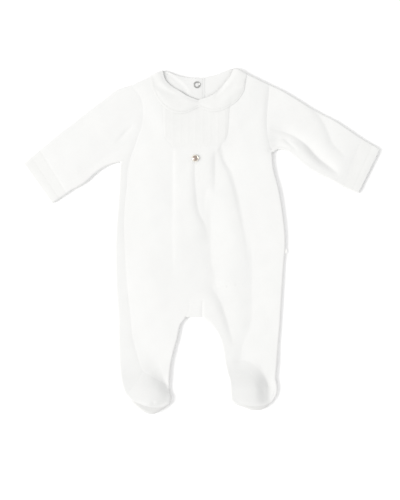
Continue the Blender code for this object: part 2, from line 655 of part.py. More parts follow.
def gusset():
    """Small piece between the legs, folded under at the crotch."""
    wall = Wall("gusset", "velour")
    wall.patch(band("seat", "crotch", "pleat_left", "centre", "gusset"), "top", ("end",))
    wall.patch(band("seat", "crotch", "seat_left", "seat_right", "gusset"), "bottom", ("end",))
    return wall.build()


# ---------------------------------------------------------------- feet
def left_to_right(side, points):
    return points if side == "left" else points[::-1]


def tip_points(side, curve):
    """Tip or sole seam of a foot, from left to right."""
    return left_to_right(side, along(dense(FOOT[side][curve], 60), np.linspace(0, 1, COLUMNS["side"] + 1)))


def leg_end(side, layer):
    """Last row of a leg on the top or bottom layer, where the foot is sewn on."""
    lines = {("left", "top"): ("side_left", "pleat_left", (None, "fold"), (0, 1)),
             ("right", "top"): ("centre", "pleat_right", ("fold", "step"), (1, 1)),
             ("left", "bottom"): ("back_left", "seat_left", ("fold", "fold"), (1, 1)),
             ("right", "bottom"): ("seat_right", "back_right", ("fold", "fold"), (1, 1))}
    left, right, kinds, holds = lines[side, layer]
    return band("crotch", "ankle", left, right, "side", kinds, holds)[-1]


def foot_upper(side):
    wall = Wall(f"foot_{side}", "velour")
    inner, beside = foot_rows(side, "inner"), foot_rows(side, "ankle_side")
    sides, kinds, folded = ((beside, inner), (None, "fold"), "right")
    if side == "right":
        sides, kinds, folded = ((inner, beside), ("fold", None), "left")
    grid = lattice(*sides, COLUMNS["side"], kinds, start=leg_end(side, "top"), end=tip_points(side, "seam"))
    wall.patch(grid, "top", (folded,))
    return wall.build()


def sole(side):
    """Underside of a foot, turned up round the toes as far as the sole seam."""
    wall = Wall(f"sole_{side}", "velour")
    outer, inner = foot_rows(side, "outer"), foot_rows(side, "inner")
    sides = (outer, inner) if side == "left" else (inner, outer)
    tip, seam = tip_points(side, "tip"), tip_points(side, "seam")
    under = lattice(*sides, COLUMNS["side"], ("fold", "fold"), start=leg_end(side, "bottom"), end=tip)
    wall.patch(under, "bottom", ("left", "right", "end"))
    share = np.array(STRIP_ROWS)[:, None, None]
    wall.patch(tip * (1 - share) + seam * share, "top", ("start",))
    return wall.build()


# ---------------------------------------------------------------- sleeves and collar
def sleeve_rows(side, at):
    rows = smooth(SLEEVE_SECTIONS[side] + (CUFF_END[side],), at)
    return rows[:, :2], rows[:, 2:]


def armhole(side, layer):
    """Points that a sleeve shares with the body, from the shoulder to the underarm."""
    if side == "right":
        return body_rows("side_right" if layer == "top" else "back_right", "shoulder", "underarm")
    if layer == "bottom":
        return body_rows("back_left", "shoulder", "side_top")
    return np.vstack([body_rows("side_left", "shoulder", "underarm"), underarm_rows()[1, 1:]])


def underarm_rows():
    """Two rows that end in the left underarm: along the strip that comes round from the back, and
    along the sleeve. The sleeve's wedge lies between them."""
    strip = wrap_band()[0, ::-1]
    corner, top = strip[-1], body_rows("side_left", "shoulder", "underarm")[-1]
    share = np.hypot(*(strip - corner).T) / np.hypot(*(strip[0] - corner))
    held = np.hypot(*(strip - corner).T) / np.hypot(*(top - corner))
    share = np.where(share < 0.5, held, share)[:, None]
    return np.stack([strip, corner + (top - corner) * share])


def sleeve(side):
    """Tube from the armhole to the cuff."""
    wall = Wall(f"sleeve_{side}", "velour")
    if side == "left":
        wall.patch(underarm_rows(), "top")
    edges = sleeve_rows(side, np.arange(len(SLEEVE_SECTIONS[side])))
    for layer in ("top", "bottom"):
        start = armhole(side, layer)
        grid = lattice(*edges, len(start) - 1, ("fold", "fold"), start=start, fade=ARMHOLE_FADE)
        wall.patch(grid, layer, ("left", "right"))
    return wall.build()


def cuff(side):
    wall = Wall(f"cuff_{side}", "cotton")
    last = len(SLEEVE_SECTIONS[side])
    edges = sleeve_rows(side, [last - 1, last - 0.5, last])
    for layer in ("top", "bottom"):
        wall.patch(lattice(*edges, COLUMNS["cuff"], ("fold", "fold")), layer, ("left", "right"))
    return wall.build()


def collar(side):
    """Half of the collar. It lies on the front, turns over the shoulder and lies under the back."""
    wall = Wall(f"collar_{side}", "cotton")
    sections = COLLAR_SECTIONS[side]
    on_front, on_back = sections[:SHOULDER_SECTION + 1], sections[SHOULDER_SECTION:]
    for layer, table in (("top", on_front[::-1]), ("bottom", on_back)):
        rows = np.array(table)
        grid = lattice(rows[:, :2], rows[:, 2:], COLUMNS["collar"])
        step = grid[1] - grid[0]
        length = np.hypot(*step.T)[:, None]
        turn = [grid[0] + step / length * np.minimum(d, most * length)
                for d, most in zip(COLLAR_TURN, (0.15, 0.35, 0.6, 0.8))]
        wall.patch(np.stack([grid[0], *turn, *grid[1:]]), layer, ("start",), COLLAR_GAP, COLLAR_CLOTH)
    return wall.build()


# ---------------------------------------------------------------- trims
def resting_height(x, y, radius, layer, lap=False):
    """Height of a layer's highest point under a round piece."""
    angle = np.linspace(0, math.tau, 24, endpoint=False)
    ring = np.concatenate([[0], np.cos(angle)]), np.concatenate([[0], np.sin(angle)])
    return inner_height(x + radius * ring[0], y + radius * ring[1], layer, lap).max()


def button():
    """Domed metal button with a rolled rim, under the middle of the bib."""
    r, h = BUTTON_WIDTH / 2, BUTTON_HEIGHT
    x, y = BUTTON_PLACE
    profile = ((0, 0), (0.84 * r, 0), (r, 0.25 * h), (0.94 * r, 0.55 * h), (0.78 * r, 0.58 * h),
               (0.62 * r, 0.78 * h), (0.32 * r, 0.95 * h), (0, h))
    return turned("button", profile, (x, y, resting_height(x, y, r, "top") + LAP_GAP), "brass", 20)


def snap(number):
    """Open ring of a snap on the inner lap. It lies on the lap's inner side."""
    r, hole, h = SNAP_WIDTH / 2, SNAP_HOLE / 2, SNAP_WALL
    y = SNAP_TOP_Y - (number - 1) * SNAP_SPACING
    profile = ((hole, 0.2 * h), (r - 0.2 * h, 0), (r, 0.3 * h), (r - 0.2 * h, 0.9 * h), (r - 0.9 * h, h),
               (hole, 0.6 * h))
    z = resting_height(SNAP_X, y, r, "bottom", lap=True) + CLOTH + LAP_GAP
    return turned(f"snap_{number}", profile, (SNAP_X, y, z), "steel", 16)


def side_tag():
    """Plain tab of tape in the right side seam."""
    shape = bmesh.new()
    bmesh.ops.create_cube(shape, size=1)
    bmesh.ops.scale(shape, vec=[v * MM for v in TAG_SIZE], verts=shape.verts)
    mesh = bpy.data.meshes.new("side_tag")
    shape.to_mesh(mesh)
    shape.free()
    item = add_object("side_tag", mesh, "tape", 30)
    seam_x = at_height("side_right", TAG_Y + np.array((-0.5, 0.5)) * TAG_SIZE[1]).max()
    item.location = ((seam_x + SEAM_GAP + TAG_SIZE[0] / 2) * MM, TAG_Y * MM, FLAT_TOP / 2 * MM)
    return item


# ---------------------------------------------------------------- materials and main
# columns: colour, roughness, metallic
MATERIAL_VALUES = {
    "velour": ((0.93, 0.925, 0.91), 0.95, 0.0),
    "cotton": ((0.90, 0.895, 0.88), 0.88, 0.0),
    "tape": ((0.86, 0.84, 0.80), 0.85, 0.0),
    "brass": ((0.72, 0.55, 0.40), 0.22, 1.0),
    "steel": ((0.62, 0.62, 0.60), 0.30, 1.0),
}
MATERIALS = {}


def make_material(name, colour, roughness, metallic):
    material = bpy.data.materials.new(name)
    material.use_nodes = True
    shader = material.node_tree.nodes["Principled BSDF"]
    shader.inputs["Base Color"].default_value = (*colour, 1)
    shader.inputs["Roughness"].default_value = roughness
    shader.inputs["Metallic"].default_value = metallic
    return material


def main():
    for item in list(bpy.data.objects):
        bpy.data.objects.remove(item)
    for name, values in MATERIAL_VALUES.items():
        MATERIALS[name] = make_material(name, *values)
    front()
    bib()
    back_left()
    back_right()
    gusset()
    for side in ("left", "right"):
        sleeve(side)
        cuff(side)
        collar(side)
        foot_upper(side)
        sole(side)
    side_tag()
    button()
    for number in range(1, SNAP_COUNT + 1):
        snap(number)


main()
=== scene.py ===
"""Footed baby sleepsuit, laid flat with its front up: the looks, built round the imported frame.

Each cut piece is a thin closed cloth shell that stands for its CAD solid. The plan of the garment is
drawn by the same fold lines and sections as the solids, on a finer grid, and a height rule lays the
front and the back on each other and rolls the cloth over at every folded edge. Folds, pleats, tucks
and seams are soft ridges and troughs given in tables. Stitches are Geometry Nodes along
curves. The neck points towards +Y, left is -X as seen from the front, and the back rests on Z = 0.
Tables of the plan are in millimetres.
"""

import math

import bmesh
import bpy
import numpy as np
from bpy.props import FloatProperty, FloatVectorProperty, PointerProperty
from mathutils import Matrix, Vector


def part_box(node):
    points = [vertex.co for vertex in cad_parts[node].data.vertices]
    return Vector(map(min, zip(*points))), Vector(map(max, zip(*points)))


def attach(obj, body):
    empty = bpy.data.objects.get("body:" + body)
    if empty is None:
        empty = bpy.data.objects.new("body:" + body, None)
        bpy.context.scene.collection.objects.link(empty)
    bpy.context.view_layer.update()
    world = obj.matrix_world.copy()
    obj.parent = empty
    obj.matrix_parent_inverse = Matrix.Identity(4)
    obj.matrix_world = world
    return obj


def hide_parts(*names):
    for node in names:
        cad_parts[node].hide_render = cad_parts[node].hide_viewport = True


bl_info = {
    "name": "Footed Baby Sleepsuit",
    "version": (1, 0, 0),
    "blender": (4, 5, 0),
    "location": "3D View > Sidebar > Sleepsuit",
    "description": "Builds a footed baby sleepsuit laid flat, with its trims and a plain stage",
    "category": "Object",
}

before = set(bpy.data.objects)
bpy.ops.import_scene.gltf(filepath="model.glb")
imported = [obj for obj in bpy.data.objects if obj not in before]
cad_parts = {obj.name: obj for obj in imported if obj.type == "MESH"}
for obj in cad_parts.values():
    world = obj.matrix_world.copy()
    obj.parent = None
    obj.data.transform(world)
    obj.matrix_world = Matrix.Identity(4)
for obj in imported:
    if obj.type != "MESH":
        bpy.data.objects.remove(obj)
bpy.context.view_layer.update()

MM = 0.001
BODY = "root"
BOTH = ("left", "right")    # sides, as seen from the front of the laid out garment

# ---------------------------------------------------------------- sizes of the form, in millimetres
COLLAR_GAP = 0.3        # the collar lies loosely on what is under it
FLAT_TOP = 6.8          # upper face of the front where two layers lie flat
EDGE_ROLL = 2.8         # how far in from a folded edge the cloth starts to turn down
FOOT_TOP = 8.4          # upper face of a foot beside its rounded forms
FOOT_ROLL = 4.5         # the roll at a foot's edge
FOOT_MID = 5.5          # height of the widest place round a foot
FOOT_START = (-190.0, -222.0)    # a leg turns into a foot between these y
NECK_LIFT = 1.7         # the collar that turns under the back raises it at the neck
NECK_SETTLE = 0.55      # share of that by which the front is raised
NECK_CENTRE = (-5.0, 240.0)
NECK_LIFT_REACH = (78.0, 104.0)  # the lift fades between these distances from there
PLEAT_START = (139.0, 130.0)     # the raised box between the pleats starts between these y
PLEAT_FADE = (30.0, -70.0)       # and fades between these
PLEAT_STEP_LEFT = 6.0   # width of the step at each side of the raised box
PLEAT_STEP_RIGHT = 5.0
LAP_LIFT = 1.25         # the inner lap of the back opening rides on the outer lap
LAP_RAMP = 8.5          # over this width
LAP_SETTLE = 0.75       # how far it comes down again towards its thin edge
LAP_SLOPE = 14.0        # over this width
LAP_FADE = (5.0, -15.0)          # both fade between these y
WAVES = ((85.0, 3, 1.0), (30.0, 5, 0.35))    # unevenness of the cloth: typical length, seed and share
BUTTON_PLACE = (-10.0, 121.0)
SNAP_COUNT = 5

# ---------------------------------------------------------------- the body, by stations and fold lines
STATION = ("shoulder", "yoke", "chest", "armhole", "bib_low", "bib_edge", "underarm", "side_top", "ribs",
           "waist", "belly", "hip", "seat", "crotch", "thigh", "knee", "calf", "shin", "ankle")
STATION_Y = (250, 222, 196, 172, 153, 139, 124, 106, 76, 42, 0, -45, -90, -114, -126, -146, -166, -185, -205)

# x of each fold line at each station, from the shoulder down
FOLD_LINE_X = {
    # front layer
    "side_left": (-105, -92.5, -87.3, -88.3, -95, -99.5, -105, -110, -111.7, -115, -114.7, -112.3, -108.5,
                  -105.5, -104.5, -102.5, -97, -91, -87),
    "pleat_left": (-58.3, -61, -58, -57, -55, -44.4, -44.4, -44.5, -45, -45.5, -46.5, -41, -19.5,
                   -23.5, -31.5, -36, -41.5, -45.5, -48.4),
    "centre": (-5, -5, -6.5, -8, -9.5, -10.5, -11, -12, -12, -7, 5, 5, 0.7, 0.7, 14, 26, 30.8, 33.5, 38.2),
    "pleat_right": (47.5, 48.5, 41.5, 39.5, 37, 28, 30, 38, 48.8, 56.5, 65.5, 70, 70.5, 70.5, 70, 66,
                    60, 56, 70),
    "side_right": (99.5, 98.7, 97, 95.6, 97.5, 101, 104.3, 106.5, 114.3, 120, 123.9, 120.8, 118,
                   116.6, 115.8, 114, 112.7, 111.3, 109.5),
}
UNDERARM, SEAT = STATION.index("underarm"), STATION.index("seat")
FOLD_LINE_X |= {
    # back layer; below the armhole its left half comes round to the front as far as side_left
    "back_left": (-105, -98, -96, -96, -98, -103, -112, -121.4, -123.8, -126.3, -129.1, -129.1, -127,
                  -125, -124.9, -124.9, -124.6, -123.6, -121.6),
    "seat_left": (-58.3, *[-27] * 11, *FOLD_LINE_X["pleat_left"][SEAT:]),
    "seat_right": (47.5, *[27] * 10, 25, *FOLD_LINE_X["centre"][SEAT:]),
    "back_right": (99.5, 94, 91, 91, 94, 99, *FOLD_LINE_X["side_right"][UNDERARM:]),
    # edges of the back opening, down to the seat
    "inner_lap": (*[4.4] * 10, *[-7.3] * 3),
    "outer_lap": (*[-19.4] * 10, *[-7.3] * 3),
}

# where a fold line leaves its station's height
FOLD_LINE_Y = {
    "side_left": {"shoulder": 229.5, "yoke": 213, "ankle": -193},
    "pleat_left": {"shoulder": 251, "yoke": 226, "ankle": -216},
    "centre": {"shoulder": 208, "yoke": 202, "chest": 190, "armhole": 170},
    "pleat_right": {"shoulder": 255, "yoke": 230, "shin": -183, "ankle": -196},
    "side_right": {"shoulder": 231, "yoke": 213, "underarm": 128},
    "back_left": {"shoulder": 229.5, "yoke": 213, "side_top": 115.8},
    "seat_left": {"shoulder": 251, "yoke": 224, "ankle": -216},
    "seat_right": {"shoulder": 255, "yoke": 226},
    "back_right": {"shoulder": 231, "yoke": 213, "underarm": 128},
    "inner_lap": {"shoulder": 239.8},
    "outer_lap": {"shoulder": 239.8},
}

# ---------------------------------------------------------------- sleeves, by sections from the armhole
# columns: upper edge x, y, lower edge x, y
SLEEVE_SECTIONS = {
    "left": ((-105, 229.5, -121.4, 115.8), (-127.3, 222, -131, 113.5), (-151, 204.6, -143, 108.5),
             (-173.2, 188.3, -157, 99), (-192.4, 172.5, -170, 87), (-210.2, 159.5, -182, 79),
             (-226, 146.5, -192, 74), (-240.5, 134.3, -199.8, 68.5)),
    "right": ((99.5, 231, 104.3, 128), (118, 222.3, 113, 134.5), (140.6, 209.1, 126, 131),
              (160, 197, 138, 121.5), (178, 187, 152, 109.5), (196.8, 177.5, 171, 98),
              (216, 165, 190, 89), (236.8, 151, 208.7, 79)),
}
CUFF_END = {"left": (-263.2, 114.3, -220.5, 54.4), "right": (263.4, 135.5, 230.9, 69)}

# ---------------------------------------------------------------- feet
# curves as (x, y) rows. outer, inner and tip lie on the folded outline; ankle_side and seam bound the
# upper of the foot, which starts at the end of the leg
FOOT = {
    "left": {
        "outer": ((-121.6, -205), (-119.6, -215), (-116.5, -223.5), (-112, -230.5)),
        "inner": ((-48.4, -216), (-48.4, -223), (-45.2, -232), (-46.5, -242)),
        "tip": ((-112, -230.5), (-101, -242), (-89, -252), (-75, -257.4), (-60, -251.5), (-46.5, -242)),
        "seam": ((-112, -230.5), (-100, -236.5), (-88, -242), (-75, -246), (-60, -246), (-46.5, -242)),
        "ankle_side": ((-87, -193), (-91, -201), (-98, -211), (-106, -221), (-112, -230.5)),
    },
    "right": {
        "outer": ((109.5, -205), (111.6, -217), (109.8, -229), (104.5, -238.5)),
        "inner": ((38.2, -205), (38.6, -215), (38.8, -225), (39.5, -236)),
        "tip": ((104.5, -238.5), (91, -249.4), (76, -251.4), (62.6, -247.4), (49.4, -242.6), (39.5, -236)),
        "seam": ((104.5, -238.5), (91, -243.5), (77, -244.5), (64, -243.5), (51, -240.5), (39.5, -236)),
        "ankle_side": ((70, -196), (79, -205), (87, -219), (95, -231), (104.5, -238.5)),
    },
}
MOUND_TILT = 0.43       # share of a form's height by which it falls evenly to the right
MOUND_POWER = 5         # how squarely it falls at its right side
MOUND_CORNER = 4        # how squarely its upper edge turns down there
MOUND_LEAST = 8.0       # least length of its rise from the leg
MOUND_DROP = 0.5        # how far it falls towards the toes
MOUND_SOFT = 2.4        # how softly it meets the cloth at its right
# rounded forms that fill the feet out, highest at their left. columns: centre x, y, half width, length
# of its rise from the leg, length to the toes, height
FOOT_MOUNDS = (
    (-118.0, -226.0, 68.0, 70.0, 35.0, 13.5),
    (42.0, -219.0, 56.0, 54.0, 34.0, 14.5),
)

# ---------------------------------------------------------------- collar, by sections round the neck
# columns: neck edge x, y, outer edge x, y; front centre first, then the shoulder, then the back centre
COLLAR_SECTIONS = {
    "right": ((-5.5, 207.4, -5.5, 196.4), (2.0, 210.0, 5.5, 192.6), (10.0, 212.6, 16.0, 190.2),
              (18.5, 217.0, 29.0, 191.8), (27.0, 225.0, 42.0, 198.0), (35.0, 234.4, 54.5, 208.6),
              (41.8, 243.2, 62.5, 223.0), (47.5, 255.0, 66.0, 246.4), (45.0, 254.0, 60.5, 233.0),
              (34.0, 250.5, 46.0, 224.0), (19.2, 244.6, 26.0, 217.0), (-4.0, 239.9, -4.0, 213.0)),
    "left": ((-5.5, 207.4, -5.5, 196.4), (-14.0, 210.4, -17.0, 190.6), (-23.5, 214.6, -28.5, 187.2),
             (-33.0, 220.6, -43.0, 189.0), (-43.0, 226.6, -55.5, 196.6), (-51.4, 233.6, -66.0, 208.6),
             (-55.8, 241.2, -73.6, 224.0), (-58.3, 251.0, -76.5, 242.6), (-54.6, 249.8, -70.0, 231.0),
             (-45.0, 246.6, -56.0, 222.0), (-30.0, 241.8, -36.0, 215.6), (-11.0, 239.9, -11.0, 213.0)),
}
SHOULDER_SECTION = 7

# ---------------------------------------------------------------- folds of the cloth
# Each row of a line: x, y, height (a trough is below 0), and its half width on the left and on the
# right as one walks along it. Lines down the body are listed from the feet up.
FRONT_FOLDS = {
    "left_pleat": ((-44, -70, 0, 10, 5), (-44, -45, -.2, 10, 5), (-43, -10, -.4, 10, 5),
                   (-42.5, 42, -.5, 10, 5), (-42.8, 76, -.5, 10, 5), (-43, 106, -.5, 9, 5),
                   (-43.5, 126, -.4, 8, 5), (-43.5, 138, 0, 6, 5)),
    "centre_pleat": ((11, -6, 0, 10, 20), (8.5, 6, -.8, 9, 24), (4.7, 22.6, -1.5, 6, 30),
                     (-5, 43, -1.8, 5, 34), (-8.8, 70, -1.8, 4.5, 32), (-10.7, 95, -1.5, 4, 28),
                     (-10.6, 113, -.8, 3, 16), (-10.8, 121, 0, 2, 8)),
    "centre_shade": ((25, -88, 0, 18, 34), (21, -62, -2.2, 20, 36), (14, -32, -3.2, 20, 44),
                     (13, 0, -3.2, 19, 44), (13, 24, -1.8, 12, 34), (12, 46, -.8, 8, 24), (11, 66, 0, 6, 16)),
    "short_pleat": ((18.5, 68, 0, 6, 10), (19, 80, -1, 5, 18), (19.3, 100, -1.8, 5, 22),
                    (19.5, 118, -1.7, 4.5, 20), (19.5, 130, -.7, 4.5, 10), (19.5, 139, 0, 4, 6)),
    "short_pleat_hook": ((6.5, 33, 0, 4, 6), (3.7, 48, -.3, 4, 6), (3.7, 61, -.5, 5, 6), (6.5, 74, -.4, 5, 5),
                         (13, 80, 0, 4, 4)),
    "long_pleat": ((66, -26, 0, 12, 20), (66, -8, -1, 12, 30), (63, 10.7, -1.6, 11, 36),
                   (58.5, 41.8, -1.9, 8, 36), (50.8, 75.9, -2, 6.5, 34), (43.1, 101, -1.9, 6, 30),
                   (34.2, 116, -1.7, 5, 24), (29.5, 133, -1.2, 4, 16), (28, 141, 0, 3, 8)),
    "long_pleat_shade": ((52, -196, 0, 10, 20), (56, -178, -1.4, 12, 30), (62, -150, -2.6, 16, 50),
                         (73, -120, -3.3, 19, 60), (74, -70, -3.4, 19, 60), (74, -34, -3, 18, 60),
                         (72, -10, -1.6, 16, 50), (69, 14, 0, 14, 40)),
    "right_leg_crease": ((46, -156, 0, 6, 10), (44, -145, -1.1, 6, 16), (37, -119.5, -2.2, 6, 26),
                         (30, -97, -2.5, 7, 30), (24, -84, -2, 8, 28), (16, -71, -1.3, 9, 22),
                         (20, -56, 0, 8, 16)),
    "gusset_line": ((.7, -113, -.5, 2.2, 2), (.7, -98, -.4, 2.2, 2), (.7, -86, 0, 2, 2)),
    "gusset_arch": ((3, -116, -.7, 2, 3), (9, -119, -.7, 2, 3), (16, -124, 0, 2, 3)),
    "side_left_shade": ((-90, -186, 0, 8, 10), (-97, -163, -1.1, 9, 24), (-104, -133, -1, 8, 28),
                        (-107, -100, -.9, 8, 28), (-112, -60, -.9, 8, 28), (-115, 0, -1, 8, 28),
                        (-114.5, 45, -1.1, 8, 28), (-111.5, 76, -1.2, 8, 28), (-108, 108, -1.2, 8, 28),
                        (-100, 138, -1.1, 8, 26), (-90.5, 166, -.8, 8, 24), (-87.6, 186, -.6, 8, 22),
                        (-88, 205, -.6, 8, 20), (-94, 217, -.4, 6, 14), (-103, 228, 0, 4, 8)),
    "side_right_shade": ((104, 118, 0, 5, 10), (102, 136, -1, 6, 24), (97.5, 152, -1, 5, 34),
                         (95.5, 172, -1.1, 4.5, 40), (96, 190, -1.5, 4, 44), (98, 212, -1.5, 4.5, 40),
                         (99.5, 226, -.8, 4, 20), (100, 234, 0, 4, 8)),
    "bib_right_edge": ((30, 141, -.6, 4, 16), (37.5, 152, -.9, 4, 20), (40.5, 172, -.9, 4, 22),
                       (42, 195, -.8, 4, 20), (47, 220, 0, 4, 16)),
    "left_panel_swell": ((-76, -150, 0, 22, 24), (-78, -90, .7, 24, 26), (-80, 0, .8, 26, 28),
                         (-74, 90, .6, 22, 26), (-72, 170, 0, 18, 20)),
    "neck_dip": ((-74, 268, 0, 10, 20), (-59, 250, -.9, 12, 28), (-54, 237, -.9, 12, 32),
                 (-35, 221, -1.1, 14, 30), (-14, 210, -1.7, 14, 24), (-5.5, 207.6, -2.2, 14, 22),
                 (5, 211.5, -2.4, 14, 22), (16.3, 215, -2.6, 14, 22), (31, 229, -2.6, 14, 22),
                 (42, 243, -1.8, 12, 22), (52, 264, 0, 10, 16)),
    "right_ankle_fold": ((44, -180, 0, 4, 4), (55, -178, -.7, 5, 4), (64, -178, -.7, 5, 4),
                         (74, -182, -.5, 4, 4), (82, -190, 0, 4, 4)),
}
# round the ankles and toes the troughs are soft
FOOT_FOLDS = {
    "left_ankle": ((-74, -196, 0, 7, 7), (-67, -203, -1.1, 7, 7), (-58, -209, -1.6, 7, 8),
                   (-53, -215, -2.2, 5, 8), (-50, -223, -1.8, 4, 8), (-49, -232, 0, 3, 7)),
    "left_sole_seam": ((-106, -236, 0, 3, 7), (-96, -240, -1.6, 3, 7), (-86, -243.5, -2.6, 3, 7),
                       (-75, -245, -3, 3, 7), (-62, -243, -2.6, 3, 7), (-50, -240, 0, 3, 7)),
    "left_dimple": ((-75, -237, 0, 3, 4), (-71.5, -239.5, -.8, 3, 4), (-68, -241, 0, 3, 4)),
    "right_ankle": ((77, -193, 0, 10, 10), (87, -203, -1.2, 16, 9), (91, -212, -3.3, 20, 8),
                    (92.5, -226, -3.7, 20, 8), (93, -238, -2.2, 16, 8), (93, -248, 0, 8, 8)),
    "right_sole_seam": ((46, -237, 0, 3, 8), (58, -241.5, -1.8, 3, 8), (72, -243.5, -2.4, 3, 8),
                        (86, -243, -1.6, 3, 8), (96, -241, 0, 3, 8)),
}
SLEEVE_FOLDS = {
    # from the armhole outwards
    "right_deep": ((100, 165, 0, 5, 4), (110, 163, -1.2, 7, 4), (122.8, 160, -2.3, 8, 4.5),
                   (138, 153.4, -3.1, 9, 5.5), (154.4, 141.6, -3.8, 10, 6), (166.2, 128.2, -4.2, 10, 6),
                   (178, 117, -3.9, 9, 6), (190, 108, -2.7, 8, 5.5), (204, 96, 0, 5, 4)),
    "right_deep_ridge": ((112, 150, 0, 8, 8), (134, 141, .8, 8, 9), (158, 122, 1, 9, 9),
                         (180, 104, .6, 8, 8), (200, 90, 0, 7, 7)),
    "right_branch": ((119, 152, 0, 3, 3), (126, 146, -1.1, 3.5, 3), (134.7, 138, -.9, 3.5, 3),
                     (142, 131, 0, 3, 3)),
    "right_second": ((147, 206, 0, 8, 4), (160, 198, -.9, 15, 5), (174.5, 182, -1.3, 17, 5),
                     (185, 163.5, -1.5, 18, 5), (192.5, 144, -1.5, 17, 5.5), (204, 132, -1.2, 13, 6),
                     (214, 119, 0, 8, 5)),
    "right_armpit": ((100, 133, -.8, 3, 4), (110, 138.5, -1.6, 4, 4), (120, 138.5, -1.2, 4, 4),
                     (131, 134, 0, 4, 4)),
    "right_hollow": ((98, 148, 0, 9, 8), (110, 150, -2, 10, 9), (123, 150, -2.4, 10, 9),
                     (137, 146, -1.4, 9, 8), (152, 139, 0, 8, 7)),
    "right_low_end": ((212, 78, -1.5, 16, 60), (224, 112, -1.8, 16, 70), (238, 152, -1.5, 16, 60)),
    "left_armpit": ((-129, 143, 0, 3, 4), (-121, 150.5, -.9, 3, 5), (-113, 159.5, -1.2, 3, 5),
                    (-105, 167, -.7, 3, 4), (-99, 171, 0, 3, 4)),
    "left_elbow": ((-186, 101, 0, 4, 4), (-175, 104, -.6, 4, 4), (-162, 107, -.5, 4, 4),
                   (-150, 113, 0, 4, 4)),
    "left_length": ((-205, 128, 0, 9, 10), (-178, 144, .5, 11, 12), (-148, 163, .6, 12, 14),
                    (-118, 182, 0, 10, 10)),
    "left_under": ((-178, 92, 0, 6, 7), (-158, 112, -.6, 8, 9), (-138, 126, -.7, 8, 9),
                   (-122, 133, -.5, 7, 8), (-108, 133, 0, 6, 6)),
}
# the underside lies on the floor, so its folds only go up into the cloth
BACK_FOLDS = {
    "neck_rise": ((-66, 263, 0, 10, 9), (-61.5, 252, 1.7, 12, 9), (-57, 241, 2.1, 15, 9),
                  (-47.5, 229, 2.4, 17, 9), (-36, 220, 2.1, 17, 9), (-24, 213, 1, 15, 9),
                  (-12, 208.5, 0, 13, 9)),
    "left_seat": ((-80, -150, 0, 6, 4), (-74, -100, .8, 6, 4), (-66, -62, 1.1, 6, 4), (-56, -30, 0, 5, 4)),
    "right_seat": ((72, -140, 0, 4, 6), (66, -96, .9, 4, 6), (57, -58, 1.1, 4, 6), (48, -24, 0, 4, 5)),
    "left_back": ((-98, 92, 0, 5, 4), (-84, 70, .8, 5, 4), (-70, 56, .7, 5, 4), (-54, 48, 0, 5, 4)),
    "right_back": ((52, 34, 0, 4, 4), (68, 46, .7, 4, 4), (84, 64, .9, 4, 4), (97, 88, 0, 4, 4)),
    "left_sleeve": ((-196, 98, 0, 4, 4), (-172, 118, 1, 4, 5), (-148, 132, 1, 4, 5), (-122, 138, 0, 4, 4)),
    "right_sleeve": ((118, 142, 0, 4, 4), (146, 138, 1, 4, 5), (170, 122, .9, 4, 5), (198, 104, 0, 4, 4)),
}
COLLAR_FOLDS = {
    "right_fold": ((17, 208, 0, 3, 3), (22, 216, -.7, 3, 3), (30, 226, -.9, 3, 3), (38, 236, 0, 3, 3)),
    "right_puff": ((24, 200, 0, 4, 4), (38, 210, .6, 5, 4), (50, 222, .5, 5, 4), (56, 236, 0, 4, 4)),
}
# columns: the groove's height, then its half width on either side
SEAM_GROOVE = (-0.14, 1.1)
TOPSTITCH_GROOVE = (-0.12, 0.8)


# ---------------------------------------------------------------- curves
# how many points follow each kind of curve
LINE_POINTS = 241     # a fold line
SEAM_POINTS = 120     # a seam along a fold line
LEG_POINTS = 97       # the inside of a leg, the tip of a foot or the edge of a sleeve
FOOT_POINTS = 60      # a side of a foot on the outline
FINE_POINTS = 120     # a curve of a foot or of the collar, where a grid follows it
NECK_POINTS = 200     # the neck edge
NO_LENGTH = 0.01      # shorter than this, a segment is left out
TINY = 1e-12          # keeps a division from failing


def smooth(rows, at):
    """Smooth curve through the rows of a table, read at row numbers such as 2.5."""
    rows = np.asarray(rows, float)
    at = np.clip(np.asarray(at, float), 0, len(rows) - 1)
    step = np.minimum(at.astype(int), len(rows) - 2)
    u = (at - step)[..., None]
    before = rows[np.maximum(step - 1, 0)]
    start = rows[step]
    end = rows[step + 1]
    after = rows[np.minimum(step + 2, len(rows) - 1)]
    lead_in = (end - before) / 2
    lead_out = (after - start) / 2
    bend = 3 * (end - start) - 2 * lead_in - lead_out
    twist = 2 * (start - end) + lead_in + lead_out
    return start + lead_in * u + bend * u**2 + twist * u**3


def fold_line(name, first, last, at):
    """Points of a fold line between two stations, at fractions from 0 to 1."""
    y = [FOLD_LINE_Y.get(name, {}).get(station, own) for station, own in zip(STATION, STATION_Y)]
    x = FOLD_LINE_X[name]
    rows = np.column_stack([x, y[:len(x)]])
    low, high = STATION.index(first), STATION.index(last)
    return smooth(rows, low + (high - low) * np.asarray(at, float))


def corner(name, station):
    """The place where a fold line crosses a station, as a run of one point."""
    return fold_line(name, station, station, [0])


def rise(value, low, high):
    """Soft step from 0 at low to 1 at high."""
    u = np.clip((value - low) / (high - low), 0, 1)
    return u * u * (3 - 2 * u)


def at_height(name, y):
    """x of a fold line where it crosses the heights y."""
    points = fold_line(name, "shoulder", "seat", np.linspace(0, 1, LINE_POINTS))
    return np.interp(-y, -points[:, 1], points[:, 0])


def dense(rows, count=FOOT_POINTS):
    """Smooth curve through the rows as closely spaced points."""
    return smooth(rows, np.linspace(0, len(rows) - 1, count))


def steps(run):
    """Lengths of the segments of a run of points, in plan."""
    return np.hypot(*np.diff(run[:, :2], axis=0).T)


def samples(run, step):
    """How many points follow a run at about a step apart."""
    return max(3, int(steps(run).sum() / step) + 1)


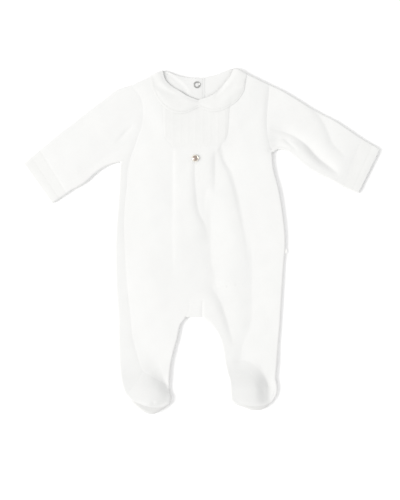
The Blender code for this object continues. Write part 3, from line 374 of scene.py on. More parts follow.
def along(curve, fractions):
    """Points of a dense curve at fractions of its length."""
    length = np.concatenate([[0], np.cumsum(steps(curve))])
    at = np.asarray(fractions, float) * length[-1]
    return np.column_stack([np.interp(at, length, curve[:, k]) for k in range(curve.shape[1])])


# ---------------------------------------------------------------- folded outline
def sleeve_edge(side, edge):
    """Upper or lower edge of a sleeve and its cuff, from the armhole out."""
    rows = np.array(SLEEVE_SECTIONS[side] + (CUFF_END[side],))
    return dense(rows[:, :2] if edge == "upper" else rows[:, 2:], LEG_POINTS)


def folded_outline():
    """The three runs of the outline where the cloth folds or is sewn."""
    body, leg = np.linspace(0, 1, LINE_POINTS), np.linspace(0, 1, LEG_POINTS)
    left, right = FOOT["left"], FOOT["right"]
    lower = np.vstack([
        sleeve_edge("left", "lower")[::-1],
        fold_line("back_left", "side_top", "ankle", body),
        dense(left["outer"]), dense(left["tip"], LEG_POINTS), dense(left["inner"])[::-1],
        fold_line("pleat_left", "crotch", "ankle", leg)[::-1],
        fold_line("centre", "crotch", "ankle", leg),
        dense(right["inner"]), dense(right["tip"], LEG_POINTS)[::-1], dense(right["outer"])[::-1],
        fold_line("side_right", "underarm", "ankle", body)[::-1],
        sleeve_edge("right", "lower"),
    ])
    neck_left, neck_right = corner("pleat_left", "shoulder"), corner("pleat_right", "shoulder")
    upper_right = np.vstack([sleeve_edge("right", "upper")[::-1], neck_right])
    upper_left = np.vstack([neck_left, sleeve_edge("left", "upper")])
    return lower, upper_right, upper_left


def chain(run):
    """Starts and ends of the segments of a run of points, without those of no length."""
    keep = np.concatenate([[True], steps(run) > NO_LENGTH])
    return run[keep][:-1], run[keep][1:]


OUTLINE = tuple(np.vstack(ends) for ends in zip(*(chain(run) for run in folded_outline())))
TILE = 20.0    # the plan is searched in squares of this size


def nearest(points, starts, ends, reach):
    """For each point within reach of a chain of segments: its distance, segment and share along it."""
    distance = np.full(len(points), np.inf)
    segment = np.zeros(len(points), int)
    share = np.zeros(len(points))
    tiles, member = np.unique(np.floor(points / TILE).astype(int), axis=0, return_inverse=True)
    order = np.argsort(member.ravel(), kind="stable")
    groups = np.split(order, np.cumsum(np.bincount(member.ravel()))[:-1])
    low, high = np.minimum(starts, ends), np.maximum(starts, ends)
    for tile, group in zip(tiles, groups):
        edge = tile * TILE
        near = np.flatnonzero(((high > edge - reach) & (low < edge + TILE + reach)).all(axis=1))
        if not len(near):
            continue
        line = ends[near] - starts[near]
        offset = points[group][:, None] - starts[near][None]
        u = np.clip(np.einsum("pij,ij->pi", offset, line) / np.einsum("ij,ij->i", line, line), 0, 1)
        gap = np.linalg.norm(offset - u[..., None] * line, axis=2)
        best = np.argmin(gap, axis=1)
        row = np.arange(len(group))
        distance[group], segment[group], share[group] = gap[row, best], near[best], u[row, best]
    return distance, segment, share


# ---------------------------------------------------------------- ridges and troughs
LINE_STEP = 2.0      # a line is followed in steps of about this length
LINE_REACH = 2.8     # beyond this many half widths a line has no height
CREASE_POWER = 1.3   # a trough is sharp along its line, and a ridge is round
FAR = 1e3            # stands for a distance that is out of reach


def relief(x, y, lines, soft=False):
    """Sum of ridges and troughs over the plan. Rows of a line are those of the fold tables. A trough is
    sharp along its line unless it is soft."""
    points = np.column_stack([x, y])
    total = np.zeros(len(points))
    for rows in lines:
        rows = np.asarray(rows, float)
        run = dense(rows, samples(rows, LINE_STEP))
        reach = LINE_REACH * rows[:, 3:].max()
        low, high = run[:, :2].min(0) - reach, run[:, :2].max(0) + reach
        inside = np.flatnonzero(((points > low) & (points < high)).all(1))
        if not len(inside):
            continue
        starts, ends = chain(run)
        at = points[inside]
        distance, segment, share = nearest(at, starts[:, :2], ends[:, :2], reach)
        start, end = starts[segment], ends[segment]
        height, left, right = (start + (end - start) * share[:, None])[:, 2:].T
        line, offset = (end - start)[:, :2], at - start[:, :2]
        on_left = line[:, 0] * offset[:, 1] - line[:, 1] * offset[:, 0] > 0
        width = np.where(on_left, left, right)
        power = 2 if soft or rows[:, 2].min() >= 0 else CREASE_POWER
        total[inside] += height * np.exp(-(np.minimum(distance, FAR) / width) ** power)
    return total


def even_line(points, height, width):
    """A line of relief with the same height and half width all along a run of points."""
    points = np.asarray(points, float)
    return np.column_stack([points, np.tile((height, width, width), (len(points), 1))])


def ripple(x, y, size, seed, waves=9):
    """Gentle unevenness with a typical length, from waves in fixed directions."""
    draw = np.random.default_rng(seed)
    turn, phase = draw.uniform(0, math.tau, waves), draw.uniform(0, math.tau, waves)
    length = size * draw.uniform(0.7, 1.6, waves)
    total = 0
    for t, n, p in zip(turn, length, phase):
        total = total + np.sin(math.tau * (x * math.cos(t) + y * math.sin(t)) / n + p)
    return total / math.sqrt(waves)


# ---------------------------------------------------------------- heights
def footness(y):
    """0 on a leg and 1 on a foot."""
    return rise(-y, -FOOT_START[0], -FOOT_START[1])


def roll_width(y):
    """How far in from a folded edge the cloth starts to turn."""
    return EDGE_ROLL + (FOOT_ROLL - EDGE_ROLL) * footness(y)


def neck_lift(x, y):
    """How far the turned collar raises the cloth."""
    reach = np.hypot(x - NECK_CENTRE[0], y - NECK_CENTRE[1])
    return NECK_LIFT * (1 - rise(reach, *NECK_LIFT_REACH))


def pleat_box(x, y, height):
    """The part of the front between the outer pleats stands a little higher."""
    strength = rise(-y, -PLEAT_START[0], -PLEAT_START[1]) * (1 - rise(-y, -PLEAT_FADE[0], -PLEAT_FADE[1]))
    left, right = at_height("pleat_left", y), at_height("pleat_right", y)
    inside = rise(x, left, left + PLEAT_STEP_LEFT) * (1 - rise(x, right - PLEAT_STEP_RIGHT, right))
    return strength * height * inside


def foot_mounds(x, y):
    """The rounded forms of the feet."""
    height = np.zeros_like(x)
    for centre_x, centre_y, half_width, up_leg, to_toes, top in FOOT_MOUNDS:
        u = (x - centre_x) / half_width
        fall = MOUND_TILT * u + (1 - MOUND_TILT) * np.minimum(np.abs(u), 2) ** MOUND_POWER
        body = top * (1 - fall)
        body = (body + np.sqrt(body**2 + MOUND_SOFT**2)) / 2
        reach = MOUND_LEAST + up_leg * (1 - np.minimum(np.abs(u), 1) ** MOUND_CORNER)
        v = y - centre_y
        to_leg, to_tip = (1 - rise(v, 0, reach)) ** 2, 1 - MOUND_DROP * np.minimum(v / to_toes, 0) ** 2
        height = np.maximum(height, body * np.where(v > 0, to_leg, to_tip))
    return height


def level(x, y, layer, lap):
    """Height of a layer's outer face away from the folded edges."""
    sizes = bpy.context.scene.sleepsuit_sizes
    if layer == "bottom":
        height = neck_lift(x, y) + sizes.fold_depth * relief(x, y, BACK_FOLDS.values())
        return height + lap_height(x, y) if lap else height
    height = FLAT_TOP + (FOOT_TOP - FLAT_TOP) * footness(y) + NECK_SETTLE * neck_lift(x, y)
    height = height + pleat_box(x, y, sizes.pleat_height / MM) + foot_mounds(x, y)
    folds = relief(x, y, (*FRONT_FOLDS.values(), *SLEEVE_FOLDS.values()))
    folds = folds + relief(x, y, FOOT_FOLDS.values(), soft=True)
    uneven = sum(share * ripple(x, y, length, seed) for length, seed, share in WAVES)
    return height + sizes.fold_depth * folds + sizes.unevenness / MM * uneven


def lap_height(x, y):
    """How far the inner lap rises on the outer one and settles towards its edge."""
    up = LAP_LIFT * rise(x - at_height("seat_left", y), 0, LAP_RAMP)
    down = LAP_SETTLE * rise(x - at_height("inner_lap", y), -LAP_SLOPE, 0)
    return (1 - rise(-y, -LAP_FADE[0], -LAP_FADE[1])) * (up - down)


def surface(plan, layer, on_fold, lap=False):
    """Places on a layer's outer face, and how far each is above or below the middle of the fold."""
    distance, segment, share = nearest(plan, *OUTLINE, FOOT_ROLL)
    snapped = OUTLINE[0][segment] + (OUTLINE[1] - OUTLINE[0])[segment] * share[:, None]
    plan = np.where(on_fold[:, None], snapped, plan)
    distance = np.where(on_fold, 0.0, distance)
    x, y = plan.T
    middle = FLAT_TOP / 2 + (FOOT_MID - FLAT_TOP / 2) * footness(y) + neck_lift(x, y)
    cos = 1 - np.clip(distance / roll_width(y), 0, 1)
    height = (level(x, y, layer, lap) - middle) * np.sqrt(1 - cos**2)
    return np.column_stack([plan, middle + height]), np.abs(height)


# ---------------------------------------------------------------- grids
PITCH = 1.7                                               # between the rows of a grid
TURN = 1 - np.cos(np.linspace(0, math.pi / 2, 8))[1:]     # shares of a roll, closer at its edge
SHOULDER_ROLL, SEAT_ROLL = 0.15, 0.17                     # shares of those bands that roll over
FOOT_ROWS = 1 - (1 - np.linspace(0, 1, 30)) ** 1.5        # along a foot, closer near its tip
STRIP_ROWS = 1 - np.cos(np.linspace(0, math.pi / 2, 10))  # from the tip of a foot up to its sole seam
SLEEVE_ROWS, COLLAR_ROWS = 11, 9                          # rows for each of their sections
CUFF_ROWS, UNDERARM_ROWS = 22, 12
ARMHOLE_FADE = 5                                          # how soon a sleeve's rows leave the armhole's
MARGIN_SHARE = 0.6                                        # most of a row that its margins may take
COLLAR_TURN_SHARE = 0.8                                   # most of a collar's section that rolls over
COLUMNS = {"side": 42, "left_of_centre": 22, "right_of_centre": 54, "lap": 22, "wrap": 13, "gusset": 14,
           "bib": 120, "cuff": 44, "collar": 18}
# columns held beside a step of the pleats and the ramp of the lap, in millimetres from them
MARGINS = {"step": (1.2, 2.4, 3.6, 4.8, PLEAT_STEP_LEFT), "ramp": (2.2, 4.3, 6.4, LAP_RAMP), None: ()}
SIDES = {"left": np.s_[:, :1], "right": np.s_[:, -1:], "start": np.s_[:1], "end": np.s_[-1:]}


def stations(first, last):
    """Row numbers between two stations, as fractions from 0 to 1."""
    low, high = STATION.index(first), STATION.index(last)
    rows = [float(low)]
    for k in range(low, high):
        count = math.ceil((STATION_Y[k] - STATION_Y[k + 1]) / PITCH)
        parts = (np.arange(count) + 1) / count
        if STATION[k] == "shoulder":
            parts = np.concatenate([SHOULDER_ROLL * TURN, np.linspace(SHOULDER_ROLL, 1, count)[1:]])
        elif STATION[k] == "seat":
            flat = np.linspace(0, 1 - SEAT_ROLL, count)[1:]
            parts = np.concatenate([flat, 1 - SEAT_ROLL * TURN[::-1][1:], [1]])
        rows += [k + part for part in parts]
    return (np.array(rows) - low) / (high - low)


def margins(kind, side):
    """Columns held beside a side of a grid, in millimetres from it, for each of its rows."""
    if kind == "fold":
        return roll_width(side[:, 1])[:, None] * TURN
    return np.tile(np.array(MARGINS[kind], float), (len(side), 1))


def across(left, right, count, kinds, holds):
    """Fractions across the rows between two sides. A hold of 0 spreads a row's columns evenly, and a
    hold of 1 keeps the margins of that side; a pair of holds changes from the first row to the last."""
    width = np.maximum(np.hypot(*(right - left).T)[:, None], NO_LENGTH)
    low, high = margins(kinds[0], left) / width, margins(kinds[1], right)[:, ::-1] / width
    taken = sum(part.max(axis=1, initial=0) for part in (low, high))
    squeeze = np.minimum(1, MARGIN_SHARE / np.maximum(taken, TINY))[:, None]
    low, high = low * squeeze, 1 - high * squeeze
    even = np.linspace(0, 1, count + 1)[None] * np.ones_like(width)
    held = even.copy()
    first, last = low.shape[1], count - high.shape[1]
    inner_low = low[:, -1:] if first else np.zeros_like(width)
    inner_high = high[:, :1] if last < count else np.ones_like(width)
    held[:, 1:first + 1] = low
    held[:, last:count] = high
    held[:, first:last + 1] = inner_low + (inner_high - inner_low) * np.linspace(0, 1, last - first + 1)[None]
    side = np.linspace(0, 1, count + 1)[None]
    share = np.linspace(0, 1, len(left))[:, None]
    hold_low, hold_high = (h[0] + (h[1] - h[0]) * share if isinstance(h, tuple) else h for h in holds)
    return even + (held - even) * (hold_low * (1 - side) + hold_high * side)


def lattice(left, right, columns, kinds=(None, None), holds=(1.0, 1.0), start=None, end=None, fade=1):
    """Plan grid between two sides. start and end are the points of its first and last rows, which the
    rows between follow, less far with a higher fade."""
    t = across(left, right, columns, kinds, holds)[..., None]
    grid = left[:, None] * (1 - t) + right[:, None] * t
    share = np.concatenate([[0], np.cumsum(steps(left) + steps(right))])
    share = (share / share[-1])[:, None] * np.ones(columns + 1)
    keep = np.ones(columns + 1)    # the columns beside a side follow less
    for count, row in zip([margins(kind, left).shape[1] for kind in kinds], (keep, keep[::-1])):
        if count:
            row[1:count + 2] = np.minimum(row[1:count + 2], np.linspace(0, 1, count + 3)[1:-1] ** 2)
    first = 0 if start is None else start - grid[0]
    last = 0 if end is None else end - grid[-1]
    for offset, weight in ((first, (1 - share) ** fade), (last, share**fade)):
        weight[1:-1] *= keep
        grid = grid + weight[..., None] * offset
    return grid


def side_mask(grid, sides):
    """Marks the points of a grid on the given sides."""
    mask = np.zeros(grid.shape[:2], bool)
    for side in sides:
        mask[SIDES[side]] = True
    return mask


# ---------------------------------------------------------------- cloth shells
RIM_STEPS = 4                       # round the edge of the cloth
EDGE_THIN, EDGE_REACH = 0.6, 3.2    # share of the wall pressed away at an open edge, and how far in
COLLAR_REACH = 5.5                  # how far in at the edges of the collar
SETTLE = 0.6                        # share of the collar's gap that closes at its edges
FOLD_SEAM = (0.35, 0.9)             # depth and half height of a seam that lies on a folded edge
# points in one cell of a grid of so many to a millimetre join; the shift keeps round sizes off its edges
JOIN_STEPS, JOIN_SHIFT = 1000, 0.137
CLOTH_SHARP, TURNED_SHARP, TAG_SHARP = 62, 40, 50    # degrees from which an edge is sharp


class Cloth:
    """A closed cloth shell made of patches. Patches that share points join. Other edges are sewn to a
    neighbour and square, or open and rounded."""

    def __init__(self, name, detail, gap=None, wall=None):
        sizes = bpy.context.scene.sleepsuit_sizes
        self.name = name
        self.detail = detail
        self.gap = gap
        self.wall = (wall or sizes.cloth) / MM
        self.places, self.details, self.opened, self.faces = [], [], [], []
        self.count = 0

    def patch(self, grid, layer, folds=(), open_sides=(), seams=(), lap=False):
        """Adds a patch on the top or bottom layer. folds are its sides on the folded outline, and seams
        those of them that are sewn there."""
        rows, columns = grid.shape[:2]
        plan = grid.reshape(-1, 2)
        place, off_middle = surface(plan, layer, side_mask(grid, folds).ravel(), lap)
        detail = self.detail(*place[:, :2].T, layer)
        for side in seams:
            beside = np.linalg.norm(grid - grid[SIDES[side]], axis=2).ravel() < roll_width(plan[:, 1])
            detail = detail - FOLD_SEAM[0] * beside * np.exp(-(off_middle / FOLD_SEAM[1]) ** 2)
        ids = self.count + np.arange(rows * columns).reshape(rows, columns)
        face = np.stack([ids[:-1, :-1], ids[1:, :-1], ids[1:, 1:], ids[:-1, 1:]], axis=-1).reshape(-1, 4)
        down, over = grid[1:, :-1] - grid[:-1, :-1], grid[:-1, 1:] - grid[:-1, :-1]
        clockwise = (down[..., 0] * over[..., 1] - down[..., 1] * over[..., 0]).sum() < 0
        self.faces.append(face[:, ::-1] if clockwise == (layer == "top") else face)
        self.places.append(place)
        self.details.append(detail)
        self.opened.append(side_mask(grid, open_sides).ravel())
        self.count += len(plan)

    def merged(self):
        """Places, details, open marks and faces, with shared points joined."""
        place = np.vstack(self.places)
        key = np.floor(place * JOIN_STEPS + JOIN_SHIFT).astype(np.int64)
        _, first, member = np.unique(key, axis=0, return_index=True, return_inverse=True)
        member = member.ravel()
        opened = np.zeros(len(first))
        np.maximum.at(opened, member, np.concatenate(self.opened).astype(float))
        return place[first], np.concatenate(self.details)[first], opened, member[np.vstack(self.faces)]

    def thinned(self, place, opened, edges):
        """Share of the wall that is missing near the open edges, where cloth is pressed thin."""
        lines = edges[opened[edges].min(axis=1) > 0]
        if not len(lines):
            return np.zeros(len(place))
        plan = place[:, :2]
        starts, ends = plan[lines[:, 0]], plan[lines[:, 1]]
        long_enough = np.hypot(*(ends - starts).T) > NO_LENGTH
        reach = EDGE_REACH if self.gap is None else COLLAR_REACH
        distance = nearest(plan, starts[long_enough], ends[long_enough], 3 * reach)[0]
        return EDGE_THIN * np.exp(-(np.minimum(distance, FAR) / reach) ** 2)

    def offsets(self, detail, thinned):
        """How far the outer and the inner face lie out of the places of the patches."""
        if self.gap is None:
            return detail - thinned * self.wall / 2, -self.wall + thinned * self.wall / 2
        bottom = self.gap * (1 - SETTLE * thinned / EDGE_THIN)
        return bottom + self.wall * (1 - thinned) + detail, bottom

    def build(self):
        """Outer face, inner face and rims as one closed mesh."""
        place, detail, opened, quads = self.merged()
        normal = point_normals(place, quads)
        edges = free_edges(quads)
        rim = np.unique(edges)
        outward = edge_directions(place, normal, edges)[rim]
        thinned = self.thinned(place, opened, edges)
        bulge = outward * (opened * self.wall * (1 - thinned) / 2)[rim, None]
        place[rim] -= bulge
        outer, inner = (place + normal * offset[:, None] for offset in self.offsets(detail, thinned))
        rings = rim_rings(outer[rim], inner[rim], bulge, opened[rim])
        faces = [quads, quads[:, ::-1] + len(place), *rim_faces(edges, rim, len(place))]
        return new_mesh_object(self.name, np.vstack([outer, inner, *rings]) * MM, np.vstack(faces))


def rim_rings(outer, inner, bulge, opened):
    """Rings of points from the outer to the inner face, rounded at open edges and straight at others."""
    middle, half = (outer + inner) / 2, (outer - inner) / 2
    rings = []
    for step in range(1, RIM_STEPS):
        angle = math.pi * step / RIM_STEPS
        straight = (1 - 2 * step / RIM_STEPS) * (1 - opened) + math.cos(angle) * opened
        rings.append(middle + half * straight[:, None] + math.sin(angle) * bulge)
    return rings


def rim_faces(edges, rim, count):
    """Faces from ring to ring. The rings' points follow those of the two faces, which have count each."""
    ring_index = np.zeros(count, int)
    ring_index[rim] = np.arange(len(rim))
    starts = [2 * count + step * len(rim) for step in range(RIM_STEPS - 1)]
    chains = [edges, *(start + ring_index[edges] for start in starts), edges + count]
    return [np.column_stack([above[:, ::-1], below]) for above, below in zip(chains, chains[1:])]


def unit(vectors):
    """Vectors of length 1 along the given ones."""
    return vectors / np.maximum(np.linalg.norm(vectors, axis=1), TINY)[:, None]


def point_normals(place, quads):
    """Direction out of the cloth at each point."""
    facing = np.cross(place[quads[:, 2]] - place[quads[:, 0]], place[quads[:, 3]] - place[quads[:, 1]])
    total = np.zeros_like(place)
    for k in range(4):
        np.add.at(total, quads[:, k], facing)
    return unit(total)


def free_edges(quads):
    """Directed edges that only one face uses."""
    edges = np.vstack([quads[:, [k, (k + 1) % 4]] for k in range(4)])
    edges = edges[edges[:, 0] != edges[:, 1]]
    size = quads.max() + 1
    forward, backward = edges[:, 0] * size + edges[:, 1], edges[:, 1] * size + edges[:, 0]
    return edges[~np.isin(forward, backward)]


def edge_directions(place, normal, edges):
    """For each point on a free edge, the direction out of the cloth in its own plane."""
    total = np.zeros_like(place)
    out = np.cross(place[edges[:, 1]] - place[edges[:, 0]], normal[edges[:, 0]])
    for k in (0, 1):
        np.add.at(total, edges[:, k], out)
    return unit(total - normal * np.einsum("ij,ij->i", total, normal)[:, None])


def linked(name, data):
    """Object in the scene that shows some data."""
    item = bpy.data.objects.new(name, data)
    bpy.context.scene.collection.objects.link(item)
    return item


def smooth_object(mesh, sharp):
    """Object of a mesh with smooth faces, sharp at edges from an angle in degrees."""
    mesh.shade_smooth()
    mesh.set_sharp_from_angle(angle=math.radians(sharp))
    return linked(mesh.name, mesh)


def new_mesh_object(name, points, faces):
    """Mesh object from arrays of points and quads, some of which may be triangles."""
    corners = [list(dict.fromkeys(face)) for face in faces.tolist()]
    mesh = bpy.data.meshes.new(name)
    mesh.from_pydata(points.tolist(), [], [face for face in corners if len(face) > 2])
    return smooth_object(mesh, CLOTH_SHARP)


def finish_piece(item, material, slot, *nodes):
    """Gives a piece its material, and says what it rides on and stands for."""
    item.data.materials.clear()
    item.data.materials.append(material)
    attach(item, BODY)
    if nodes:
        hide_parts(*nodes)


# ---------------------------------------------------------------- seams, tucks and topstitching
HEM_AT = 7.52            # the hem's stitches cross a cuff at this section number
COLLAR_STITCH = 3.0      # from the collar's outer edge
LAP_STITCH = 4.0         # from the edges of the back opening
BIB_EDGE_STEP = 6        # every so many columns of the bib, a point of its lower edge
TUCK_FADE = 6.0          # the pin tucks flatten over this length above the bib's lower edge
COLLAR_ROLL = (0.35, 5.0, 4.0)    # height, distance from the neck edge and half width of the roll
COLLAR_FADE = (2.0, 14.0)         # the collar's detail starts between these distances from the shoulder
COLLAR_SEEN = 40.0                # how far in from its edges the collar's detail reaches


def body_line(name, first="shoulder", last="ankle"):
    """A seam along a fold line between two stations."""
    return fold_line(name, first, last, np.linspace(0, 1, SEAM_POINTS))


def bib_edge_line():
    """Lower edge of the bib."""
    rows = [body_rows(line, "shoulder", "bib_edge") for line in ("pleat_left", "pleat_right")]
    return lattice(*rows, COLUMNS["bib"])[-1, ::BIB_EDGE_STEP]


def cuff_line(side, at):
    """Straight across a sleeve or cuff, at a section number such as 7.5."""
    upper, lower = sleeve_rows(side, [at])
    return np.vstack([upper, lower])


def seam_runs(layer):
    """Plan of every seam that isn't on a folded edge."""
    runs = [cuff_line(side, len(SLEEVE_SECTIONS[side]) - 1) for side in BOTH]
    runs += [leg_end(side, layer) for side in BOTH]
    if layer == "bottom":
        return runs + [body_line("back_left", "shoulder", "side_top"),
                       body_line("back_right", "shoulder", "underarm")]
    runs += [body_line("side_left"), body_line("side_right", "shoulder", "underarm"), bib_edge_line(),
             np.vstack([corner("pleat_left", "seat"), corner("centre", "seat")])]
    runs += [body_line(line, "shoulder", "bib_edge") for line in ("pleat_left", "pleat_right")]
    runs += [body_line(line, "seat", "crotch") for line in ("pleat_left", "centre")]
    return runs + [dense(FOOT[side][curve]) for side in BOTH for curve in ("ankle_side", "seam")]


def seam_detail(x, y, layer):
    """Grooves of the seams."""
    return relief(x, y, [even_line(thin(run), *SEAM_GROOVE) for run in seam_runs(layer)])


def stitch_detail(x, y, layer, runs):
    """Grooves of the seams, and the dents of the topstitching along some runs."""
    return seam_detail(x, y, layer) + relief(x, y, [even_line(run, *TOPSTITCH_GROOVE) for run in runs])


def thin(run, step=4.0):
    """A run of points about a step apart."""
    return along(run, np.linspace(0, 1, samples(run, step)))


def bib_detail(x, y, layer):
    """Pin tucks down the bib, and its seams."""
    sizes = bpy.context.scene.sleepsuit_sizes
    spacing, width = sizes.tuck_spacing / MM, sizes.tuck_width / MM
    from_tuck = (x - BUTTON_PLACE[0]) / spacing
    offset = (from_tuck - np.round(from_tuck)) * spacing
    low_edge = STATION_Y[STATION.index("bib_edge")]
    fade = rise(y, low_edge, low_edge + TUCK_FADE)
    return seam_detail(x, y, layer) + sizes.tuck_height / MM * fade * np.exp(-(offset / width) ** 2)


def cuff_detail(x, y, layer):
    """Grooves of the seams, and the dents of the hem's stitches."""
    return stitch_detail(x, y, layer, [cuff_line(side, HEM_AT) for side in BOTH])


def lap_runs(last, spacing):
    """Lines of stitching beside both edges of the back opening, inner lap first."""
    return [thin(body_line(line, "shoulder", last), spacing) + (inwards, 0)
            for line, inwards in (("inner_lap", -LAP_STITCH), ("outer_lap", LAP_STITCH))]


def lap_detail(x, y, layer):
    """Grooves of the seams, and the dents of the stitches beside the back opening."""
    return stitch_detail(x, y, layer, lap_runs("belly", 4.0))


def collar_edges(side, count=FINE_POINTS):
    """Neck edge and outer edge of a collar half, from the front centre to the shoulder."""
    rows = np.array(COLLAR_SECTIONS[side][:SHOULDER_SECTION + 1])
    return dense(rows[:, :2], count), dense(rows[:, 2:], count)


def collar_detail(side):
    """The soft roll of a collar half along the neck, and the dent of its topstitching."""
    neck, edge = collar_edges(side)
    depth, width = TOPSTITCH_GROOVE
    roll_height, roll_place, roll_half = COLLAR_ROLL

    def detail(x, y, layer):
        if layer == "bottom":
            return np.zeros_like(x)
        plan = np.column_stack([x, y])
        from_neck, from_edge, from_shoulder = (
            nearest(plan, run[:-1], run[1:], COLLAR_SEEN)[0] for run in (neck, edge, neck[-2:]))
        roll = roll_height * np.exp(-((from_neck - roll_place) / roll_half) ** 2)
        stitch = depth * np.exp(-((from_edge - COLLAR_STITCH) / width) ** 2)
        folds = relief(x, y, COLLAR_FOLDS.values())
        return rise(from_shoulder, *COLLAR_FADE) * (roll + stitch + folds)

    return detail


# ---------------------------------------------------------------- the body
def body_rows(line, first, last):
    """A fold line, as points that every piece along it shares."""
    return fold_line(line, first, last, stations(first, last))


def band(first, last, left, right, columns, kinds=(None, None), holds=(1.0, 1.0), **ends):
    """Grid of a band of the body between two fold lines, from one station to another."""
    return lattice(body_rows(left, first, last), body_rows(right, first, last), COLUMNS[columns],
                   kinds, holds, **ends)


def foot_rows(side, curve):
    """A side of a foot, as points that every piece along it shares."""
    return along(dense(FOOT[side][curve], FINE_POINTS), FOOT_ROWS)


def panel(cloth, layer, left, right, columns, kinds, first, rows):
    """Bands between two fold lines, one below the other from the first station. Columns of the rows:
    last station, holds, folded sides, and the sewn ones of these where not all are."""
    for last, holds, folds, *seams in rows:
        grid = band(first, last, left, right, columns, kinds, holds)
        cloth.patch(grid, layer, folds, seams=seams[0] if seams else folds)
        first = last


def front():
    """One panel with both legs. A notch at the seat holds the gusset. The right leg goes on beside
    the upper of its foot."""
    cloth = Cloth("front_cloth", seam_detail)
    panel(cloth, "top", "side_left", "pleat_left", "side", (None, "fold"), "shoulder", (
        ("bib_edge", (0, 0), ("start",)),
        ("seat", (0, 0), ()),
        ("crotch", (0, (0, 1)), ()),
        ("ankle", (0, 1), ("right",)),
    ))
    panel(cloth, "top", "pleat_left", "centre", "left_of_centre", ("step", None), "bib_edge", (
        ("seat", (1, 1), ()),
    ))
    panel(cloth, "top", "centre", "pleat_right", "right_of_centre", ("fold", "step"), "bib_edge", (
        ("seat", (0, 1), ()),
        ("crotch", ((0, 1), 1), ()),
        ("ankle", (1, 1), ("left",)),
    ))
    panel(cloth, "top", "pleat_right", "side_right", "side", (None, "fold"), "shoulder", (
        ("bib_edge", (0, 0), ("start",)),
        ("underarm", (0, (0, 1)), ()),
        ("ankle", (0, 1), ("right",)),
    ))
    beside_foot = lattice(foot_rows("right", "ankle_side"), foot_rows("right", "outer"), COLUMNS["side"],
                          (None, "fold"), (0, 1))
    cloth.patch(beside_foot, "top", ("right",), seams=("right",))
    return cloth.build()


def neckline(sections):
    """Neck edge of the collar halves through the given sections, as (side, section) pairs."""
    return dense([COLLAR_SECTIONS[side][k][:2] for side, k in sections], NECK_POINTS)


def bib():
    """Inset between the shoulders, from the neck to its straight lower edge."""
    cloth = Cloth("bib_cloth", bib_detail)
    left = [("left", k) for k in range(SHOULDER_SECTION, -1, -1)]
    right = [("right", k) for k in range(SHOULDER_SECTION + 1)]
    neck = along(neckline(left + right), np.linspace(0, 1, COLUMNS["bib"] + 1))
    grid = band("shoulder", "bib_edge", "pleat_left", "pleat_right", "bib", start=neck)
    cloth.patch(grid, "top", open_sides=("start",))
    return cloth.build()


def wrap_band():
    """The strip of the back that shows beside the front, down its left."""
    return band("side_top", "ankle", "back_left", "side_left", "wrap", ("fold", None), (1, 0))


def back_left():
    """Left half of the back. It carries the inner lap, and comes round to the front in a strip that
    runs down to the toes."""
    cloth = Cloth("back_left_cloth", lap_detail)
    panel(cloth, "bottom", "back_left", "seat_left", "side", ("fold", "fold"), "shoulder", (
        ("underarm", (0, 0), ("start",)),
        ("side_top", ((0, 1), 0), ()),
        ("seat", (1, 0), ("left",), ()),
        ("crotch", (1, (0, 1)), ("left",), ()),
        ("ankle", (1, 1), BOTH, ("right",)),
    ))
    sections = [("left", k) for k in range(SHOULDER_SECTION, len(COLLAR_SECTIONS["left"]))]
    neck = np.vstack([neckline(sections), corner("inner_lap", "shoulder")])
    ramp = margins("ramp", neck[:1])[0] / steps(neck).sum()
    neck = along(neck, [0, *ramp, *np.linspace(ramp[-1], 1, COLUMNS["lap"] + 1 - len(ramp))[1:]])
    lap = band("shoulder", "seat", "seat_left", "inner_lap", "lap", ("ramp", None), (1, 1), start=neck)
    cloth.patch(lap, "bottom", open_sides=("start", "right"), lap=True)
    cloth.patch(wrap_band(), "top", ("left",))
    beside_foot = lattice(foot_rows("left", "outer"), foot_rows("left", "ankle_side"), COLUMNS["wrap"],
                          ("fold", None), (1, 0))
    cloth.patch(beside_foot, "top", ("left",))
    return cloth.build()


def back_right():
    """Right half of the back, with the outer lap."""
    cloth = Cloth("back_right_cloth", lap_detail)
    panel(cloth, "bottom", "seat_right", "back_right", "side", ("fold", "fold"), "shoulder", (
        ("bib_edge", (0, 0), ("start",)),
        ("underarm", (0, (0, 1)), ()),
        ("seat", (0, 1), ("right",)),
        ("crotch", ((0, 1), 1), ("right",)),
        ("ankle", (1, 1), BOTH),
    ))
    sections = [("right", k) for k in range(len(COLLAR_SECTIONS["right"]) - 1, SHOULDER_SECTION - 1, -1)]
    neck = np.vstack([corner("outer_lap", "shoulder"), neckline(sections)])
    neck = along(neck, np.linspace(0, 1, COLUMNS["lap"] + 1))
    lap = band("shoulder", "seat", "outer_lap", "seat_right", "lap", start=neck)
    cloth.patch(lap, "bottom", open_sides=("start", "left"))
    return cloth.build()


def gusset():
    """Small piece between the legs, folded under at the crotch."""
    cloth = Cloth("gusset_cloth", seam_detail)
    for layer, left, right in (("top", "pleat_left", "centre"), ("bottom", "seat_left", "seat_right")):
        cloth.patch(band("seat", "crotch", left, right, "gusset"), layer, ("end",))
    return cloth.build()


# ---------------------------------------------------------------- feet
def tip_points(side, curve):
    """Tip or sole seam of a foot, from left to right."""
    points = along(dense(FOOT[side][curve], FINE_POINTS), np.linspace(0, 1, COLUMNS["side"] + 1))
    return points if side == "left" else points[::-1]


def leg_end(side, layer):
    """Last row of a leg on the top or bottom layer, where the foot is sewn on."""
    lines = {("left", "top"): ("side_left", "pleat_left", "side", (None, "fold"), (0, 1)),
             ("right", "top"): ("centre", "pleat_right", "right_of_centre", ("fold", "step")),
             ("left", "bottom"): ("back_left", "seat_left", "side", ("fold", "fold")),
             ("right", "bottom"): ("seat_right", "back_right", "side", ("fold", "fold"))}
    return band("crotch", "ankle", *lines[side, layer])[-1]


